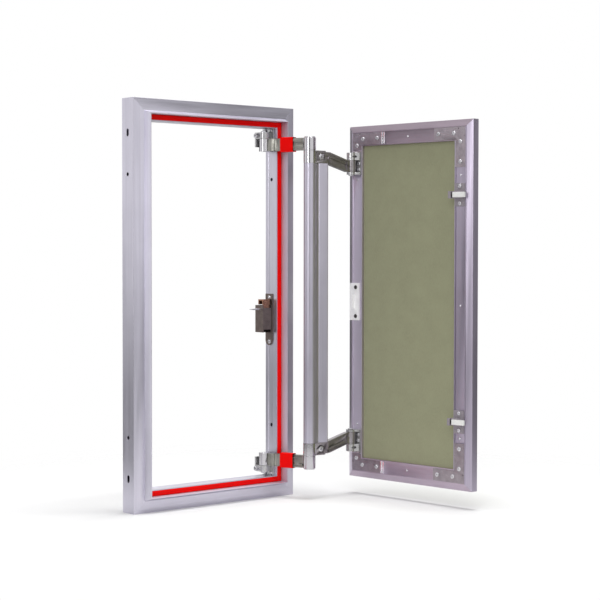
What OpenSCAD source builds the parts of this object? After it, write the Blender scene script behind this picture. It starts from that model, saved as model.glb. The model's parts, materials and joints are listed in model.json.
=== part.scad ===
// Tile access panel: an aluminium wall frame, a board-faced door and the double-jointed arms
// that carry the door out of the frame and swing it aside. All sizes are in millimetres.
// X runs across the wall, Y runs into the wall and Z is up. The origin is the middle of the
// frame's bottom face. The door is modelled open.

/* [Wall frame] */
// Outer width of the wall frame
frame_w = 300; // [280:5:600]
// Outer height of the wall frame
frame_h = 600; // [480:10:1200]
// Depth of the frame's side walls
frame_depth = 28; // [27:0.5:36]
// Width of the frame section, from its outer side to the clear opening
frame_sec = 32; // [31:0.5:40]
// Wall thickness of the frame extrusion
frame_wall = 1.8; // [1.5:0.1:2.2]
// Distance from the outer side to the inner face of the front flange
lip_in = 22.5; // [22:0.5:23.5]
// How far the front flange stands in front of the outer edge
lip_rise = 13.5; // [12:0.5:15]
// Depth of the seal seat behind the outer edge
rebate_t = 4; // [3.5:0.5:5]
// Thickness of the rubber seal
seal_t = 3.4; // [2:0.2:3.4]
// Radius of the fixing holes in the frame sides
fixing_r = 2.75; // [2:0.25:3]
// Distance of the round fixing holes from the frame ends
fixing_end = 110; // [90:5:150]
// Distance of the fixing slots from the frame ends
slot_end = 50; // [40:5:70]
// Length of the fixing slots
slot_len = 11; // [8:0.5:16]

/* [Door] */
// Gap between the door edge and the front flange
door_gap = 4.5; // [4.5:0.5:6]
// Thickness of the door edge
door_t = 16; // [15:0.5:18]
// How far the outer rail of the door falls back to its edge
door_bevel = 4.2; // [3.6:0.1:4.8]
// Width of the door section, from its edge to the board opening
door_sec = 31; // [30:0.5:36]
// Thickness of the plasterboard
board_t = 12.5; // [9.5:0.5:12.5]
// Length of the legs of the corner plates
corner_leg = 59; // [50:1:70]
// Distance of the upper side catch from the door's top
catch_end_top = 110.5; // [100:0.5:150]
// Distance of the lower side catch from the door's bottom
catch_end_low = 102; // [100:0.5:150]
// Travel of a catch tongue
catch_travel = 4; // [2:0.5:5]

/* [Arms] */
// Length of the frame arm between its pivots
frame_arm_l = 80; // [76:0.5:84]
// Length of the door arm between its pivots
door_arm_l = 80.4; // [79:0.2:82]
// Height of the arm castings
arm_h = 19; // [17:0.5:20]
// Thickness of the arm castings
arm_t = 8; // [7:0.25:8]
// Radius of the elbow knuckles
knuckle_r = 9.5; // [8.5:0.25:9.75]
// Radius of the elbow pins
elbow_pin_r = 4; // [3:0.25:4.5]
// Radius of the frame and door pivot pins
pivot_pin_r = 3; // [2:0.25:3.5]
// Radial running clearance of the pins
pin_clear = 0.06; // [0.03:0.01:0.1]
// Length of the rubber sleeve on a frame arm
sleeve_l = 22; // [15:1:24]
// Thickness of the rubber sleeve
sleeve_t = 1.8; // [1:0.1:1.9]
// Width of the tie bar between the door arms
tie_w = 40; // [36:1:46]
// Thickness of the tie bar
tie_t = 14; // [12:0.5:16]
// Drop from the elbow to the door pivot
arm_drop = 12.6; // [11:0.2:13]

/* [Latch] */
// Height of the latch hook above the frame's bottom
hook_z = 301; // [250:1:320]
// Length of the latch case
latch_h = 42; // [34:1:50]
// Width of the latch case
latch_w = 19.4; // [15:0.2:20]
// Depth of the latch case
latch_d = 18.5; // [16:0.5:22]

/* [Hidden] */
$fn = 48;
eps = 0.01;

// Frame section
front_y = -frame_depth / 2;
ridge_in = lip_in - 4.7;
ridge_rise = 2;
flange_t = 1;
key_clear = 0.15;
key_leg = 34;
groove_y = front_y + frame_depth - 7;
clear_x = frame_w / 2 - frame_sec;
clear_top = frame_h - frame_sec;
seal_lip_t = 1.4;
seal_lip_h = 2.4;
seal_side = 1;
side_screw_r = 1.6;
screw_bite = 0.6;
play = 0.1;

// Frame pivot, with the closed door's place
bracket_t = 2.5;
eye_r = 7.5;
run_gap = 0.4;
pivot_in = bracket_t + eye_r + 0.5;
pivot_deep = 20;
pivot_y = front_y + pivot_deep;
frame_pivot = [clear_x - pivot_in, pivot_y];
arm_open = -68.5;
door_arm_open = -4;
door_open = -85.4;

// Door
door_w = frame_w - 2 * (lip_in + door_gap);
door_h = frame_h - 2 * (lip_in + door_gap);
door_pivot_in = 16;
door_pivot_up = 10;
door_edge_w = 5;
edge_wall = 1.5;
rib_in = 9.3;
rib_w = 1.6;
rib_h = 1;
band_floor = 0.5;
inner_lip_w = 1.5;
plate_t = 1.5;
band_w = door_sec - rib_in - rib_w - inner_lip_w;
band_in = rib_in + rib_w;
plate_back = door_t - board_t;

// Places of the pivots with the door open
elbow = frame_pivot + frame_arm_l * [cos(arm_open), sin(arm_open)];
door_pivot = elbow + door_arm_l * [cos(door_arm_open), sin(door_arm_open)];

// Heights, for the upper arms
arm_below = 16;
arm_top = clear_top - arm_below;
arm_bottom = arm_top - arm_h;
door_arm_top = arm_bottom - run_gap;
door_arm_bottom = door_arm_top - arm_h;
eye_top = door_arm_top - arm_drop;
eye_bottom = eye_top - arm_h + 1;

// Latch
latch_y = -2.5;
latch_plate_y = -4;
latch_top = hook_z - 5;
latch_plate_t = 1.5;
latch_tab = [20.5, 17.5];
latch_plate_h = latch_h + latch_tab[0] + latch_tab[1];
latch_screw_in = 6;
latch_screw_y = latch_plate_y + 7;
latch_plate_z = latch_top - latch_h - latch_tab[0];
hook_pivot = [clear_x - latch_w / 2, latch_y + 5.5, latch_top - 6];

// Puts a piece of the upper arms at the top, or mirrored at the bottom
module level(up) {
    if (up) children();
    else translate([0, 0, frame_h]) mirror([0, 0, 1]) children();
}

// Frame section, as distance from the outer side and depth behind the outer edge
module frame_section() {
    difference() {
        polygon([
            [0, 0], [ridge_in, -ridge_rise], [lip_in - flange_t, -lip_rise], [lip_in, -lip_rise],
            [lip_in, rebate_t], [frame_sec - seal_lip_t, rebate_t],
            [frame_sec - seal_lip_t, rebate_t - seal_lip_h], [frame_sec, rebate_t - seal_lip_h],
            [frame_sec, groove_y - front_y - 1], [frame_sec - 0.9, groove_y - front_y],
            [frame_sec, groove_y - front_y + 1], [frame_sec, frame_depth], [0, frame_depth]
        ]);
        polygon(chamber());
    }
}

// Hollow of the frame section, drawn inwards by a margin
function chamber(m = 0) = [
    [frame_wall + m, frame_wall + m],
    [ridge_in + 0.5 - m, frame_wall - ridge_rise + m],
    [lip_in - frame_wall - m, frame_wall - ridge_rise + m],
    [lip_in - frame_wall - m, rebate_t + frame_wall + m],
    [frame_sec - frame_wall - m, rebate_t + frame_wall + m],
    [frame_sec - frame_wall - m, frame_depth - frame_wall - m],
    [frame_wall + m, frame_depth - frame_wall - m]
];

// A mitred length of a section along X, with its outer side down
module mitred(len, reach, before, after) {
    intersection() {
        translate([-len / 2, 0, 0]) rotate([90, 0, 90]) linear_extrude(len)
            rotate(90) mirror([0, 1]) children();
        translate([0, after, 0]) rotate([90, 0, 0]) linear_extrude(after - before)
            polygon([[-len / 2, 0], [len / 2, 0], [len / 2 - reach, reach], [-len / 2 + reach, reach]]);
    }
}

module frame_length(len) {
    translate([0, front_y, 0]) mitred(len, frame_sec + 5, -lip_rise - 1, frame_depth + 1)
        frame_section();
}

module frame_bottom() {
    color([0.72, 0.72, 0.75]) frame_length(frame_w);
}

module frame_top() {
    color([0.72, 0.72, 0.75]) translate([0, 0, frame_h]) mirror([0, 0, 1]) frame_length(frame_w);
}

// A side length with its fixing holes, as the left one
module frame_side() {
    difference() {
        translate([-frame_w / 2, 0, frame_h / 2]) rotate([0, 90, 0]) frame_length(frame_h);
        for (z = [fixing_end, frame_h - fixing_end])
            translate([-frame_w / 2 - 1, 0, z]) rotate([0, 90, 0])
                cylinder(r = fixing_r, h = frame_sec + 2);
        for (z = [slot_end, frame_h - slot_end], s = [-1, 1])
            translate([-frame_w / 2 - 1, 0, z + s * (slot_len / 2 - fixing_r)]) rotate([0, 90, 0])
                cylinder(r = fixing_r, h = frame_wall + 2);
        for (z = [slot_end, frame_h - slot_end])
            translate([-frame_w / 2 - 1, -fixing_r, z - slot_len / 2 + fixing_r])
                cube([frame_wall + 2, 2 * fixing_r, slot_len - 2 * fixing_r]);
    }
}

module frame_left() {
    color([0.74, 0.74, 0.78]) frame_side();
}

// The hinge side also has the pilot holes for the brackets and the latch
module frame_right() {
    color([0.74, 0.74, 0.78]) difference() {
        mirror([1, 0, 0]) frame_side();
        for (p = pilot_holes()) translate([clear_x - 1, p[0], p[1]]) rotate([0, 90, 0])
            cylinder(r = side_screw_r + play, h = frame_wall + 2);
    }
}

function pilot_holes() = concat(
    [for (y = bracket_screw_y, z = [bracket_screw_z, frame_h - bracket_screw_z]) [y, z]],
    [for (z = latch_screw_z) [latch_screw_y, z]]
);

// Die-cast keys in the hollows that hold the mitres together
module corner_key(len) {
    translate([0, front_y + rebate_t + frame_wall + key_clear, 0])
        rotate([-90, 0, 0]) linear_extrude(frame_depth - rebate_t - 2 * (frame_wall + key_clear))
            polygon([
                [len, -len], [len + key_leg, -len], [len + key_leg, -len - 6],
                [len + 6, -len - 6], [len + 6, -len - key_leg], [len, -len - key_leg]
            ]);
}

module frame_corner_keys() {
    off = frame_wall + key_clear;
    color([0.6, 0.6, 0.62])
        for (mx = [0, 1], mz = [0, 1])
            translate([0, 0, frame_h / 2]) mirror([mx, 0, 0]) mirror([0, 0, mz])
                translate([-frame_w / 2, 0, -frame_h / 2]) corner_key(off);
}

// Seal strip all round the opening, in the seat behind the upstanding lip
module frame_seal() {
    out = lip_in + seal_side;
    inn = frame_sec - seal_lip_t - play;
    color([0.86, 0.04, 0.04])
        translate([0, front_y + rebate_t, 0]) rotate([90, 0, 0]) linear_extrude(seal_t)
            difference() {
                translate([-frame_w / 2 + out, out]) square([frame_w - 2 * out, frame_h - 2 * out]);
                translate([inn - frame_w / 2, inn]) square([frame_w - 2 * inn, frame_h - 2 * inn]);
            }
}

// Frame bracket: a wall plate, a lug over the arm and a rear tab
lug_h = 10;
tab_y = pivot_y + 10;
tab_t = 3;
adjuster_z = arm_top + run_gap + lug_h / 2;
bracket_z0 = arm_bottom + 1;
bracket_top = clear_top - play;
bracket_y0 = front_y + 7;
bracket_y1 = tab_y + tab_t;
bracket_screw_z = clear_top - 3;
bracket_screw_y = [bracket_y0 + 4, front_y + frame_depth - 3.5];
adjuster_y = pivot_y + eye_r - 0.5;
adjuster_r = 2;
adjuster_len = 5;
adjuster_head = [3.6, 4.5];
bracket_head = [2.4, 1.8];
pin_head = [4.5, 2];

module frame_bracket() {
    px = frame_pivot[0];
    difference() {
        union() {
            translate([clear_x - bracket_t, bracket_y0, bracket_z0])
                cube([bracket_t - play, bracket_y1 - bracket_y0, bracket_top - bracket_z0]);
            translate([px, pivot_y, arm_top + run_gap]) cylinder(r = eye_r, h = lug_h);
            translate([px, pivot_y - eye_r, arm_top + run_gap])
                cube([clear_x - bracket_t - px + 1, 2 * eye_r, lug_h]);
            translate([px - eye_r, tab_y, arm_bottom + 7])
                cube([clear_x - play - px + eye_r, tab_t, arm_top + run_gap + lug_h - arm_bottom - 7]);
            translate([px - eye_r, pivot_y, arm_top + run_gap])
                cube([2 * eye_r, tab_y - pivot_y + 1, lug_h]);
        }
        translate([px, pivot_y, arm_top]) cylinder(r = pivot_pin_r + pin_clear, h = lug_h + 1);
        translate([px - 12, adjuster_y, adjuster_z]) rotate([0, 90, 0])
            cylinder(r = adjuster_r + play, h = 2 * eye_r + 1);
        for (y = bracket_screw_y)
            translate([clear_x - bracket_t - 1, y, bracket_screw_z]) rotate([0, 90, 0])
                cylinder(r = side_screw_r + play, h = bracket_t + 2);
    }
}

module frame_bracket_upper() {
    color([0.7, 0.69, 0.7]) level(true) frame_bracket();
}

module frame_bracket_lower() {
    color([0.7, 0.69, 0.7]) level(false) frame_bracket();
}

module frame_pivot_pins() {
    color([0.62, 0.62, 0.63]) for (up = [true, false]) level(up)
        translate([frame_pivot[0], pivot_y, 0]) {
            translate([0, 0, arm_bottom - run_gap + 0.1]) cylinder(r = pivot_pin_r, h = arm_h + lug_h + 1);
            translate([0, 0, arm_top + run_gap + lug_h + 0.1]) cylinder(r = pin_head[0], h = pin_head[1]);
        }
}

// Screw with a raised round head and a hexagon socket, its head's underside at Z = 0
module cap_screw(r, head_r, head_h, len) {
    difference() {
        union() {
            translate([0, 0, -len]) cylinder(r = r, h = len + eps);
            rotate_extrude() polygon([
                [0, 0], [head_r, 0], [head_r, head_h * 0.45], [head_r * 0.72, head_h], [0, head_h]
            ]);
        }
        translate([0, 0, head_h * 0.4]) cylinder(r = head_r * 0.42, h = head_h, $fn = 6);
    }
}

module frame_bracket_screws() {
    color([0.8, 0.8, 0.82]) for (up = [true, false]) level(up) for (y = bracket_screw_y)
        translate([clear_x - bracket_t - play, y, bracket_screw_z]) rotate([0, -90, 0])
            cap_screw(side_screw_r, bracket_head[0], bracket_head[1], bracket_t + frame_wall + screw_bite);
}

// Socket-head screws that set the lug against the rear tab
module frame_adjusting_screws() {
    color([0.82, 0.82, 0.84]) for (up = [true, false]) level(up)
        translate([frame_pivot[0] - eye_r - play, adjuster_y, adjuster_z]) rotate([0, -90, 0])
            difference() {
                union() {
                    translate([0, 0, -adjuster_len]) cylinder(r = adjuster_r, h = adjuster_len + eps);
                    cylinder(r = adjuster_head[0], h = adjuster_head[1]);
                }
                translate([0, 0, adjuster_head[1] / 3])
                    cylinder(r = adjuster_r, h = adjuster_head[1], $fn = 6);
            }
}

// Frame arm: an eye on the frame pivot, a crank round the seal and a half knuckle
bend_near = [frame_pivot[0] + 2.7, front_y + 3.5];
bend_far_d = 31.4;
bend_far = frame_pivot + bend_far_d * [cos(arm_open), sin(arm_open)];

// A bar of round ends between two points
module bar(a, b, w) {
    d = b - a;
    l = norm(d);
    translate(a) rotate(atan2(d[1], d[0])) {
        circle(d = w);
        translate([0, -w / 2]) square([l, w]);
        translate([l, 0]) circle(d = w);
    }
}

module frame_arm() {
    difference() {
        union() {
            translate([frame_pivot[0], frame_pivot[1], arm_bottom]) cylinder(r = eye_r, h = arm_h);
            translate([elbow[0], elbow[1], arm_bottom]) cylinder(r = knuckle_r, h = arm_h);
            translate([0, 0, arm_bottom]) linear_extrude(arm_h) {
                bar(frame_pivot, bend_near, arm_t - 1);
                bar(bend_near, bend_far, arm_t - 1);
                bar(bend_far, elbow, arm_t);
            }
        }
        translate([frame_pivot[0], frame_pivot[1], arm_bottom - 1])
            cylinder(r = pivot_pin_r + pin_clear, h = arm_h + 2);
        translate([elbow[0], elbow[1], arm_bottom - 1])
            cylinder(r = elbow_pin_r + pin_clear, h = arm_h + 2);
        // Grooves along both faces, between the sleeve and the knuckle
        translate([frame_pivot[0], frame_pivot[1], 0]) rotate(arm_open)
            for (z = [0.22, 0.5, 0.78], s = [-1, 1])
                translate([sleeve_at + sleeve_l / 2 + 1, s * arm_t / 2 - 0.6, arm_bottom + arm_h * z - 1.1])
                    cube([frame_arm_l - knuckle_r - sleeve_at - sleeve_l / 2 - 1.5, 1.2, 2.2]);
    }
}

module frame_arm_upper() {
    color([0.62, 0.62, 0.6]) level(true) frame_arm();
}

module frame_arm_lower() {
    color([0.62, 0.62, 0.6]) level(false) frame_arm();
}

// Rubber sleeve where the arm passes the front flange
sleeve_at = bend_far_d + play + sleeve_l / 2;

module arm_sleeve() {
    translate([frame_pivot[0], frame_pivot[1], arm_bottom - sleeve_t]) rotate(arm_open)
        translate([sleeve_at, 0, 0]) difference() {
            rounded_block(sleeve_l, arm_t + 2 * sleeve_t, arm_h + 2 * sleeve_t);
            translate([-sleeve_l, -arm_t / 2 - play / 2, sleeve_t - play / 2])
                cube([2 * sleeve_l, arm_t + play, arm_h + play]);
        }
}

// A block with rounded long edges
module rounded_block(l, w, h) {
    r = sleeve_t + 0.4;
    translate([-l / 2, 0, 0]) rotate([90, 0, 90]) linear_extrude(l) union() {
        translate([-w / 2 + r, 0]) square([w - 2 * r, h]);
        translate([-w / 2, r]) square([w, h - 2 * r]);
        for (x = [-w / 2 + r, w / 2 - r], y = [r, h - r]) translate([x, y]) circle(r = r);
    }
}

module arm_sleeve_upper() {
    color([0.9, 0.06, 0.05]) level(true) arm_sleeve();
}

module arm_sleeve_lower() {
    color([0.9, 0.06, 0.05]) level(false) arm_sleeve();
}

module elbow_pins() {
    color([0.75, 0.75, 0.76]) for (up = [true, false]) level(up) translate([elbow[0], elbow[1], 0]) {
        translate([0, 0, door_arm_bottom + 0.5]) cylinder(r = elbow_pin_r, h = arm_top - door_arm_bottom);
        translate([0, 0, arm_top + play]) cylinder(r = knuckle_r - 1.2, h = 1.6);
    }
}

// Thin washers between the knuckle halves
module elbow_washers() {
    color([0.85, 0.85, 0.86]) for (up = [true, false]) level(up)
        translate([elbow[0], elbow[1], door_arm_top + 0.05]) difference() {
            cylinder(r = knuckle_r - 0.6, h = run_gap - 0.1);
            translate([0, 0, -1]) cylinder(r = elbow_pin_r + pin_clear, h = 3);
        }
}

// Door arm: a half knuckle, a boss for the tie bar and a sloping arm to the door pivot
boss_l = tie_w - knuckle_r + 0.5;
slope_end = 10;
clamp_at = 18;
clamp_recess = [10, 1.8, 11];
clamp_screw = [2.5, 4.2, 2.2];
pocket = 2.2;
relief_at = frame_arm_l - sleeve_at - sleeve_l / 2 - 1.2;
relief_deep = sleeve_t - run_gap + 0.3;

module door_arm() {
    translate([elbow[0], elbow[1], 0]) rotate(door_arm_open) difference() {
        union() {
            translate([0, 0, door_arm_bottom]) cylinder(r = knuckle_r, h = arm_h);
            translate([0, -tie_t / 2, door_arm_bottom]) cube([boss_l, tie_t, arm_h]);
            translate([0, arm_t / 2 + 0.5, 0]) rotate([90, 0, 0]) linear_extrude(arm_t + 1)
                polygon([
                    [boss_l - 1, door_arm_bottom], [door_arm_l - slope_end, eye_bottom],
                    [door_arm_l, eye_bottom], [door_arm_l, eye_top],
                    [door_arm_l - slope_end, eye_top], [boss_l - 1, door_arm_top]
                ]);
            translate([door_arm_l, 0, eye_bottom]) cylinder(r = eye_r, h = eye_top - eye_bottom);
        }
        translate([0, 0, door_arm_bottom - 1]) cylinder(r = elbow_pin_r + pin_clear, h = arm_h + 2);
        translate([door_arm_l, 0, eye_bottom - 1])
            cylinder(r = pivot_pin_r + pin_clear, h = eye_top - eye_bottom + 2);
        translate([clamp_at, -tie_t / 2 - 1, door_arm_bottom + arm_h / 2]) rotate([-90, 0, 0])
            cylinder(r = clamp_screw[0] + play, h = tie_t + 2);
        // Recess round the clamping screw's head
        translate([clamp_at, -tie_t / 2, door_arm_bottom + arm_h / 2])
            cube([clamp_recess[0], 2 * clamp_recess[1], clamp_recess[2]], center = true);
        // Room for the sleeve over it when the arms are folded
        translate([relief_at, -tie_t, door_arm_top - relief_deep])
            cube([sleeve_l + 2.4, 2 * tie_t, relief_deep + 1]);
        // Pocket along each side of the sloping arm
        for (s = [-1, 1]) translate([0, s * (arm_t / 2 + 0.5) + pocket, 0]) rotate([90, 0, 0])
            linear_extrude(2 * pocket)
                polygon([
                    [boss_l + 3, door_arm_bottom + 1.2], [door_arm_l - slope_end - 1, eye_bottom + 2.6],
                    [door_arm_l - slope_end - 1, eye_top - 2.6], [boss_l + 3, door_arm_top - 4.4]
                ]);
    }
}

module door_arm_upper() {
    color([0.6, 0.61, 0.58]) level(true) door_arm();
}

module door_arm_lower() {
    color([0.6, 0.61, 0.58]) level(false) door_arm();
}

// Extruded bar that joins the upper and lower door arms, so that they turn together
tie_neck = 10.5;
tie_wall = 1.8;
tie_groove = [17.5, 1.4];

module tie_section() {
    r = tie_t / 2;
    reach = tie_w - knuckle_r;
    difference() {
        union() {
            circle(r = knuckle_r - 0.3);
            translate([0, -r + 2]) square([reach - 2, tie_t - 4]);
            translate([tie_neck, -r]) square([reach - tie_neck, tie_t]);
        }
        circle(r = elbow_pin_r + 1);
        translate([tie_neck + tie_wall, -r + tie_wall])
            square([reach - tie_neck - 2 * tie_wall, tie_t - 2 * tie_wall]);
        for (y = [-r - 1, r - 0.8]) translate([tie_groove[0], y]) square([tie_groove[1], 1.8]);
    }
}

module tie_bar() {
    z0 = frame_h - door_arm_bottom;
    color([0.74, 0.74, 0.79]) translate([elbow[0], elbow[1], z0 + play]) rotate(door_arm_open)
        linear_extrude(door_arm_bottom - z0 - 2 * play) tie_section();
}

module tie_bar_screws() {
    color([0.7, 0.7, 0.72]) for (up = [true, false]) level(up)
        translate([elbow[0], elbow[1], door_arm_bottom + arm_h / 2]) rotate(door_arm_open)
            translate([clamp_at, -tie_t / 2 + clamp_recess[1] - play, 0]) rotate([90, 0, 0])
                cap_screw(clamp_screw[0], clamp_screw[1], clamp_screw[2], tie_t - clamp_recess[1]);
}

// Stands the door's own frame at its open place. In it, X runs from the hinge edge to the free
// edge, Y runs from the inner face to the tiled face and Z is up.
module on_door() {
    translate([door_pivot[0], door_pivot[1], (frame_h - door_h) / 2]) rotate(door_open)
        translate([-door_pivot_in, door_pivot_up, 0]) children();
}

// Door section, as distance from the door edge and depth behind the inner face
module door_section() {
    difference() {
        polygon([
            [0, door_bevel], [rib_in, 0], [rib_in, -rib_h], [band_in, -rib_h], [band_in, band_floor],
            [door_sec - inner_lip_w, band_floor], [door_sec - inner_lip_w, -rib_h],
            [door_sec, -rib_h], [door_sec, plate_back - play], [door_edge_w, plate_back - play],
            [door_edge_w, door_t], [0, door_t]
        ]);
        translate([edge_wall, door_bevel + edge_wall])
            square([door_edge_w - 2 * edge_wall, door_t - door_bevel - 2 * edge_wall]);
        translate([band_in + 1, band_floor + 1.5]) square([band_w - 3, plate_back]);
    }
}

module door_length(len) {
    mitred(len, door_sec + 5, -rib_h - 1, door_t + 1) door_section();
}

module door_bottom() {
    color([0.7, 0.69, 0.71]) on_door() translate([door_w / 2, 0, 0]) door_length(door_w);
}

module door_top() {
    color([0.7, 0.69, 0.71]) on_door() translate([door_w / 2, 0, door_h]) mirror([0, 0, 1])
        door_length(door_w);
}

module door_hinge_stile() {
    color([0.72, 0.71, 0.74]) on_door() translate([0, 0, door_h / 2]) rotate([0, 90, 0])
        door_length(door_h);
}

module door_free_stile() {
    color([0.72, 0.71, 0.74]) on_door() translate([door_w, 0, door_h / 2]) mirror([1, 0, 0])
        rotate([0, 90, 0]) door_length(door_h);
}

module door_board() {
    edge = door_edge_w + play;
    color([0.52, 0.52, 0.4]) on_door()
        translate([edge, door_t - board_t, edge]) cube([door_w - 2 * edge, board_t, door_h - 2 * edge]);
}

// Corner plates lie in the band between the rib and the inner lip
screw_hole_r = 1.7;
hinge_leg = 26;
long_screw_near = 21.5;
long_screw_end = 8;
short_screw_end = 7;
pin_hole_at = [13, 2.2];

function leg_screws(leg) =
    leg == hinge_leg ? [leg - short_screw_end] : [long_screw_near, leg - long_screw_end];

module corner_plate(leg_x, leg_z) {
    w = band_w - 2 * play;
    translate([band_in + play, band_floor - play / 2, band_in + play]) rotate([90, 0, 0]) difference() {
        linear_extrude(plate_t) polygon([[0, 0], [leg_x, 0], [leg_x, w], [w, w], [w, leg_z], [0, leg_z]]);
        for (x = leg_screws(leg_x))
            translate([x, w / 2, -1]) cylinder(r = screw_hole_r, h = plate_t + 2);
        for (z = leg_screws(leg_z))
            translate([w / 2, z, -1]) cylinder(r = screw_hole_r, h = plate_t + 2);
        for (p = [[0, 1], [1, 0]]) translate([pin_hole_at[p[0]], pin_hole_at[p[1]], -1])
            cylinder(r = 0.9, h = plate_t + 2);
    }
}

// Puts a corner piece of the lower hinge corner at any corner of the door
module at_corner(free, top) {
    on_door() translate([door_w / 2, 0, door_h / 2]) mirror([free, 0, 0]) mirror([0, 0, top])
        translate([-door_w / 2, 0, -door_h / 2]) children();
}

module corner_plate_hinge_bottom() {
    color([0.58, 0.55, 0.57]) at_corner(0, 0) corner_plate(corner_leg, hinge_leg);
}

module corner_plate_hinge_top() {
    color([0.58, 0.55, 0.57]) at_corner(0, 1) corner_plate(corner_leg, hinge_leg);
}

module corner_plate_free_bottom() {
    color([0.6, 0.57, 0.6]) at_corner(1, 0) corner_plate(corner_leg, corner_leg);
}

module corner_plate_free_top() {
    color([0.6, 0.57, 0.6]) at_corner(1, 1) corner_plate(corner_leg, corner_leg);
}

module band_screw(x, z) {
    translate([x, band_floor - plate_t - play, z]) rotate([90, 0, 0])
        cap_screw(1.6, 3.3, 1.5, plate_t - 0.2);
}

module corner_plate_screws() {
    w = band_w - 2 * play;
    base = band_in + play;
    color([0.86, 0.86, 0.88]) for (free = [0, 1], top = [0, 1]) at_corner(free, top) {
        for (x = leg_screws(corner_leg)) band_screw(base + x, base + w / 2);
        for (z = leg_screws(free == 1 ? corner_leg : hinge_leg)) band_screw(base + w / 2, base + z);
    }
}

// Small rivets that pin the rails to the board between the corner plates
rivet_below = 8;

module rail_rivets() {
    m = band_in + band_w / 2;
    r = 1.8;
    leg_end = band_in + corner_leg;
    free_top = (leg_end + catch_end_top - catch_plate_h / 2) / 2;
    free_low = (leg_end + catch_end_low - catch_plate_h / 2) / 2;
    hinge = door_bracket_z0 - door_z0 - rivet_below;
    color([0.84, 0.84, 0.86]) on_door() for (p = [
        [door_w / 2, m], [door_w / 2, door_h - m], [door_w - m, door_h - free_top],
        [door_w - m, door_h / 2], [door_w - m, free_low], [m, hinge], [m, door_h - hinge]
    ])
        translate([p[0], band_floor - play, p[1]]) rotate([90, 0, 0]) rotate_extrude()
            polygon([[0, 0], [r, 0], [r * 0.9, 0.5], [r * 0.5, 0.9], [0, 1]]);
}

// Folded clips beside the corner plates of the hinge side
clip = [7.5, 2.2];
clip_sheet = 0.8;
clip_slot = 3.1;

module board_clips() {
    x = band_in + corner_leg + 0.6;
    color([0.88, 0.87, 0.9]) for (top = [0, 1]) at_corner(0, top)
        translate([x, band_floor - play, band_in + play]) rotate([90, 0, 0]) difference() {
            cube([clip[0], band_w - 2 * play, clip[1]]);
            translate([(clip[0] - clip_slot) / 2, -1, clip_sheet])
                cube([clip_slot, band_w + 2, clip[1]]);
        }
}

// Door bracket: a plate in the band, a block over the arm's eye and a lug under it
block_top = door_arm_top - 0.8;
door_z0 = (frame_h - door_h) / 2;
lug_low = 3.6;
door_bracket_z0 = eye_bottom - run_gap - lug_low;
door_bracket_z1 = door_arm_top + 2;
socket_at = [23.5, block_top - 6];
door_screw_x = 24.5;
foot_x = 26;
foot_y = -3.5;
door_screw_z = [eye_bottom + 4, eye_top - 5];

module door_bracket_outline() {
    hull() {
        translate([door_pivot_in, -door_pivot_up]) circle(r = eye_r - 0.3);
        translate([band_in + play + 1.2, foot_y]) circle(r = 1.2);
    }
    hull() {
        translate([door_pivot_in, -door_pivot_up]) circle(r = 5);
        translate([foot_x, foot_y]) circle(r = 2);
    }
    translate([band_in + play, foot_y]) square([foot_x - band_in, band_floor - play - foot_y]);
}

module door_bracket() {
    translate([0, 0, -door_z0]) difference() {
        union() {
            translate([band_in + play, -2, door_bracket_z0])
                cube([band_w - 2 * play, 2 + band_floor - play / 2, door_bracket_z1 - door_bracket_z0]);
            translate([0, 0, eye_top + run_gap]) linear_extrude(block_top - eye_top - run_gap)
                door_bracket_outline();
            translate([0, 0, door_bracket_z0]) linear_extrude(lug_low) door_bracket_outline();
        }
        translate([door_pivot_in, -door_pivot_up, door_bracket_z0 - 1])
            cylinder(r = pivot_pin_r + pin_clear, h = block_top - door_bracket_z0 + 2);
        translate([socket_at[0], -2.5, socket_at[1]]) rotate([90, 0, 0])
            cylinder(r = 2, h = 12, $fn = 6);
        for (z = door_screw_z) translate([door_screw_x, -3, z]) rotate([-90, 0, 0])
            cylinder(r = 1.6, h = 5);
    }
}

module door_bracket_upper() {
    color([0.63, 0.62, 0.6]) on_door() door_bracket();
}

module door_bracket_lower() {
    color([0.63, 0.62, 0.6]) on_door() translate([0, 0, door_h]) mirror([0, 0, 1]) door_bracket();
}

module door_pivot_pins() {
    color([0.72, 0.72, 0.72]) on_door() for (m = [0, 1])
        translate([door_pivot_in, -door_pivot_up, door_h / 2]) mirror([0, 0, m])
            translate([0, 0, -door_h / 2 - door_z0]) {
                translate([0, 0, door_bracket_z0 + 0.2])
                    cylinder(r = pivot_pin_r, h = block_top - door_bracket_z0);
                translate([0, 0, door_bracket_z0 - 1.6]) cylinder(r = pivot_pin_r + 1.4, h = 1.5);
            }
}

module door_bracket_screws() {
    color([0.85, 0.85, 0.86]) on_door() for (m = [0, 1]) translate([0, 0, door_h / 2])
        mirror([0, 0, m]) translate([0, 0, -door_h / 2 - door_z0])
            for (z = door_screw_z)
                translate([door_screw_x, -2 - play, z]) rotate([90, 0, 0]) cap_screw(1.5, 2.8, 1.4, 2.2);
}

// Strike: a stepped plate over the rib with a blade that meets the latch
strike_h = 58;
strike_x0 = 6.5;
strike_x1 = 25.5;
blade_at = 15.4;
blade_l = 4.9;
blade_h = 21;
blade_t = 2;
strike_top = 2.5;
strike_screw_x = 19;
strike_screw_z = [-strike_h / 2 + 6.5, strike_h / 2 - 6.5];

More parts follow.
